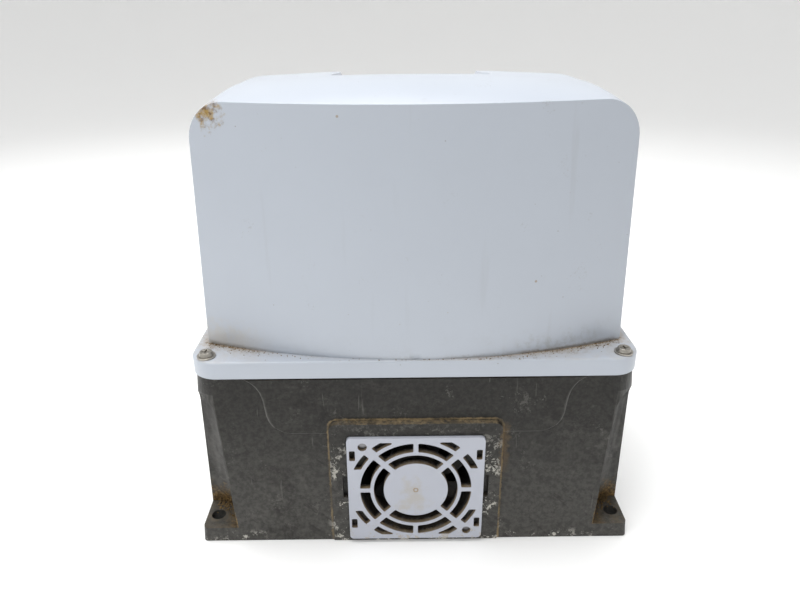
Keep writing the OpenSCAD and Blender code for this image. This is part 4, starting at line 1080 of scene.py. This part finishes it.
# crumbs on the ears, on arcs about each flute's axis and thinning away from its wall, heaped against it
def cornerGrit(rng):
    count = crumbs["inCorners"]
    angle = rng.uniform(math.radians(crumbs["arcFrom"]), math.radians(crumbs["arcTo"]), count)
    grain = rng.uniform(*crumbs["cornerSize"], count)
    r = crumbs["fluteR"] - grain * 0.5 - rng.exponential(crumbs["spread"], count)
    far = crumbs["farShare"]
    sideX, sideY = rng.choice([-1, 1], count), rng.choice([-1, 1], count, p=[far, 1 - far]) * -1
    x, y = sideX * (crumbs["fluteX"] + r * np.cos(angle)), sideY * (crumbs["fluteY"] + r * np.sin(angle))
    heap = rng.exponential(crumbs["spread"], count) * np.clip((r - 20) / 2, 0, 1)
    z = crumbs["earTopZ"] + grain * 0.3 + heap
    return crumbCloud(np.stack([x, y, z], 1), grain, rng)


rng = np.random.default_rng(crumbs["seed"])
addPiece("flangeCrumbs", flangeGrit(rng), "soil", "cover")
addPiece("cornerCrumbs", cornerGrit(rng), "soil", "base")
print("crumbs scattered")

floorLook = {"color": (0.95, 0.95, 0.945), "flatTo": 1.9, "bend": 1.3, "rise": 2.4, "drop": 0.3,
             "glow": 0.10, "segments": 96}


# a profile turned about the middle: flat, then out by the bend times a sine and up by the bend times one
# less the cosine, then an upright rim
def floorGrid():
    turn = np.linspace(0, 2 * math.pi, floorLook["segments"], endpoint=False)
    bend = np.linspace(0, math.pi / 2, 12)[1:]
    flat = np.array([0.001, 0.3, 0.6, 1.2, floorLook["flatTo"]])
    edge = floorLook["flatTo"] + floorLook["bend"]
    outward, upward = floorLook["bend"] * np.sin(bend), floorLook["bend"] * (1 - np.cos(bend))
    radii = np.concatenate([flat, floorLook["flatTo"] + outward, [edge]])[:, None] / mm
    heights = np.concatenate([np.zeros(5), upward, [floorLook["rise"]]])[:, None] / mm - floorLook["drop"]
    return np.stack([radii * np.cos(turn), radii * np.sin(turn),
                     np.broadcast_to(heights, (len(radii), len(turn)))], -1)


floorMesh = buildMesh("floor", [(floorGrid(), True, False)])
floor = bpy.data.objects.new("paleFloor", floorMesh)
bpy.context.scene.collection.objects.link(floor)
floorMaterial, tree, shader = startMaterial("palePaper", specular=0.15)
paper = placeGroup(tree, skinGroup, Color=(*floorLook["color"], 1), Mottle=0.01, Cloud_Scale=3.0,
                   Grain_Scale=400.0, Roughness=0.8)
tree.links.new(paper["Color"], shader.inputs["Base Color"])
shader.inputs["Roughness"].default_value = 0.8
shader.inputs["Emission Color"].default_value = (1, 1, 0.99, 1)
shader.inputs["Emission Strength"].default_value = floorLook["glow"]
floorMesh.materials.append(floorMaterial)

lights = {
    "room": 0.22, "seen": 1.0, "roomColor": (0.985, 0.99, 1.0),
    "topSoftbox": {"place": (-0.15, 0.15, 1.7), "aim": (0, 0, 0.2), "diameter": 1.5, "energy": 39.0},
    "keySoftbox": {"place": (-1.0, -1.0, 1.2), "aim": (0, 0, 0.12), "diameter": 0.9, "energy": 5.2},
}
world = bpy.data.worlds.new("paleRoom")
bpy.context.scene.world = world
world.use_nodes = True
tree = world.node_tree
background = tree.nodes["Background"]
background.inputs["Color"].default_value = (*lights["roomColor"], 1)
path = addNode(tree, "ShaderNodeLightPath")
strength = mathNode(tree, "MULTIPLY_ADD", path.outputs["Is Camera Ray"], lights["seen"] - lights["room"],
                    lights["room"])
tree.links.new(strength, background.inputs["Strength"])


# a round area light turned from straight down to face its aim
def softLight(name, place, aim, diameter, energy):
    data = bpy.data.lights.new(name, "AREA")
    data.shape, data.size, data.energy = "DISK", diameter, energy
    lamp = bpy.data.objects.new(name, data)
    bpy.context.scene.collection.objects.link(lamp)
    lamp.location = place
    direction = np.subtract(aim, place)
    yaw, pitch = math.atan2(direction[0], -direction[1]), math.acos(-direction[2] / np.linalg.norm(direction))
    lamp.rotation_euler = (pitch, 0, yaw + math.pi)


for name in ("topSoftbox", "keySoftbox"):
    softLight(name, **lights[name])

view = {"place": (-0.0125, -0.4935, 0.3497), "down": 23.6, "yaw": 0.4, "roll": -0.4, "lens": 30.19,
        "sensor": 36, "nearest": 0.01}


def turnAbout(degrees, axis):  # a rotation about one axis
    return mathutils.Matrix.Rotation(math.radians(degrees), 3, axis)


cameraData = bpy.data.cameras.new("camera")
cameraData.lens, cameraData.sensor_width = view["lens"], view["sensor"]
cameraData.clip_start = view["nearest"]
camera = bpy.data.objects.new("camera", cameraData)
bpy.context.scene.collection.objects.link(camera)
camera.location = view["place"]
camera.rotation_mode = "XYZ"
facingTurn = turnAbout(-view["yaw"], "Z") @ turnAbout(90 - view["down"], "X") @ turnAbout(view["roll"], "Z")
camera.rotation_euler = facingTurn.to_euler("XYZ")
bpy.context.scene.camera = camera
bpy.context.scene.view_settings.view_transform = "Standard"
print("stage set")
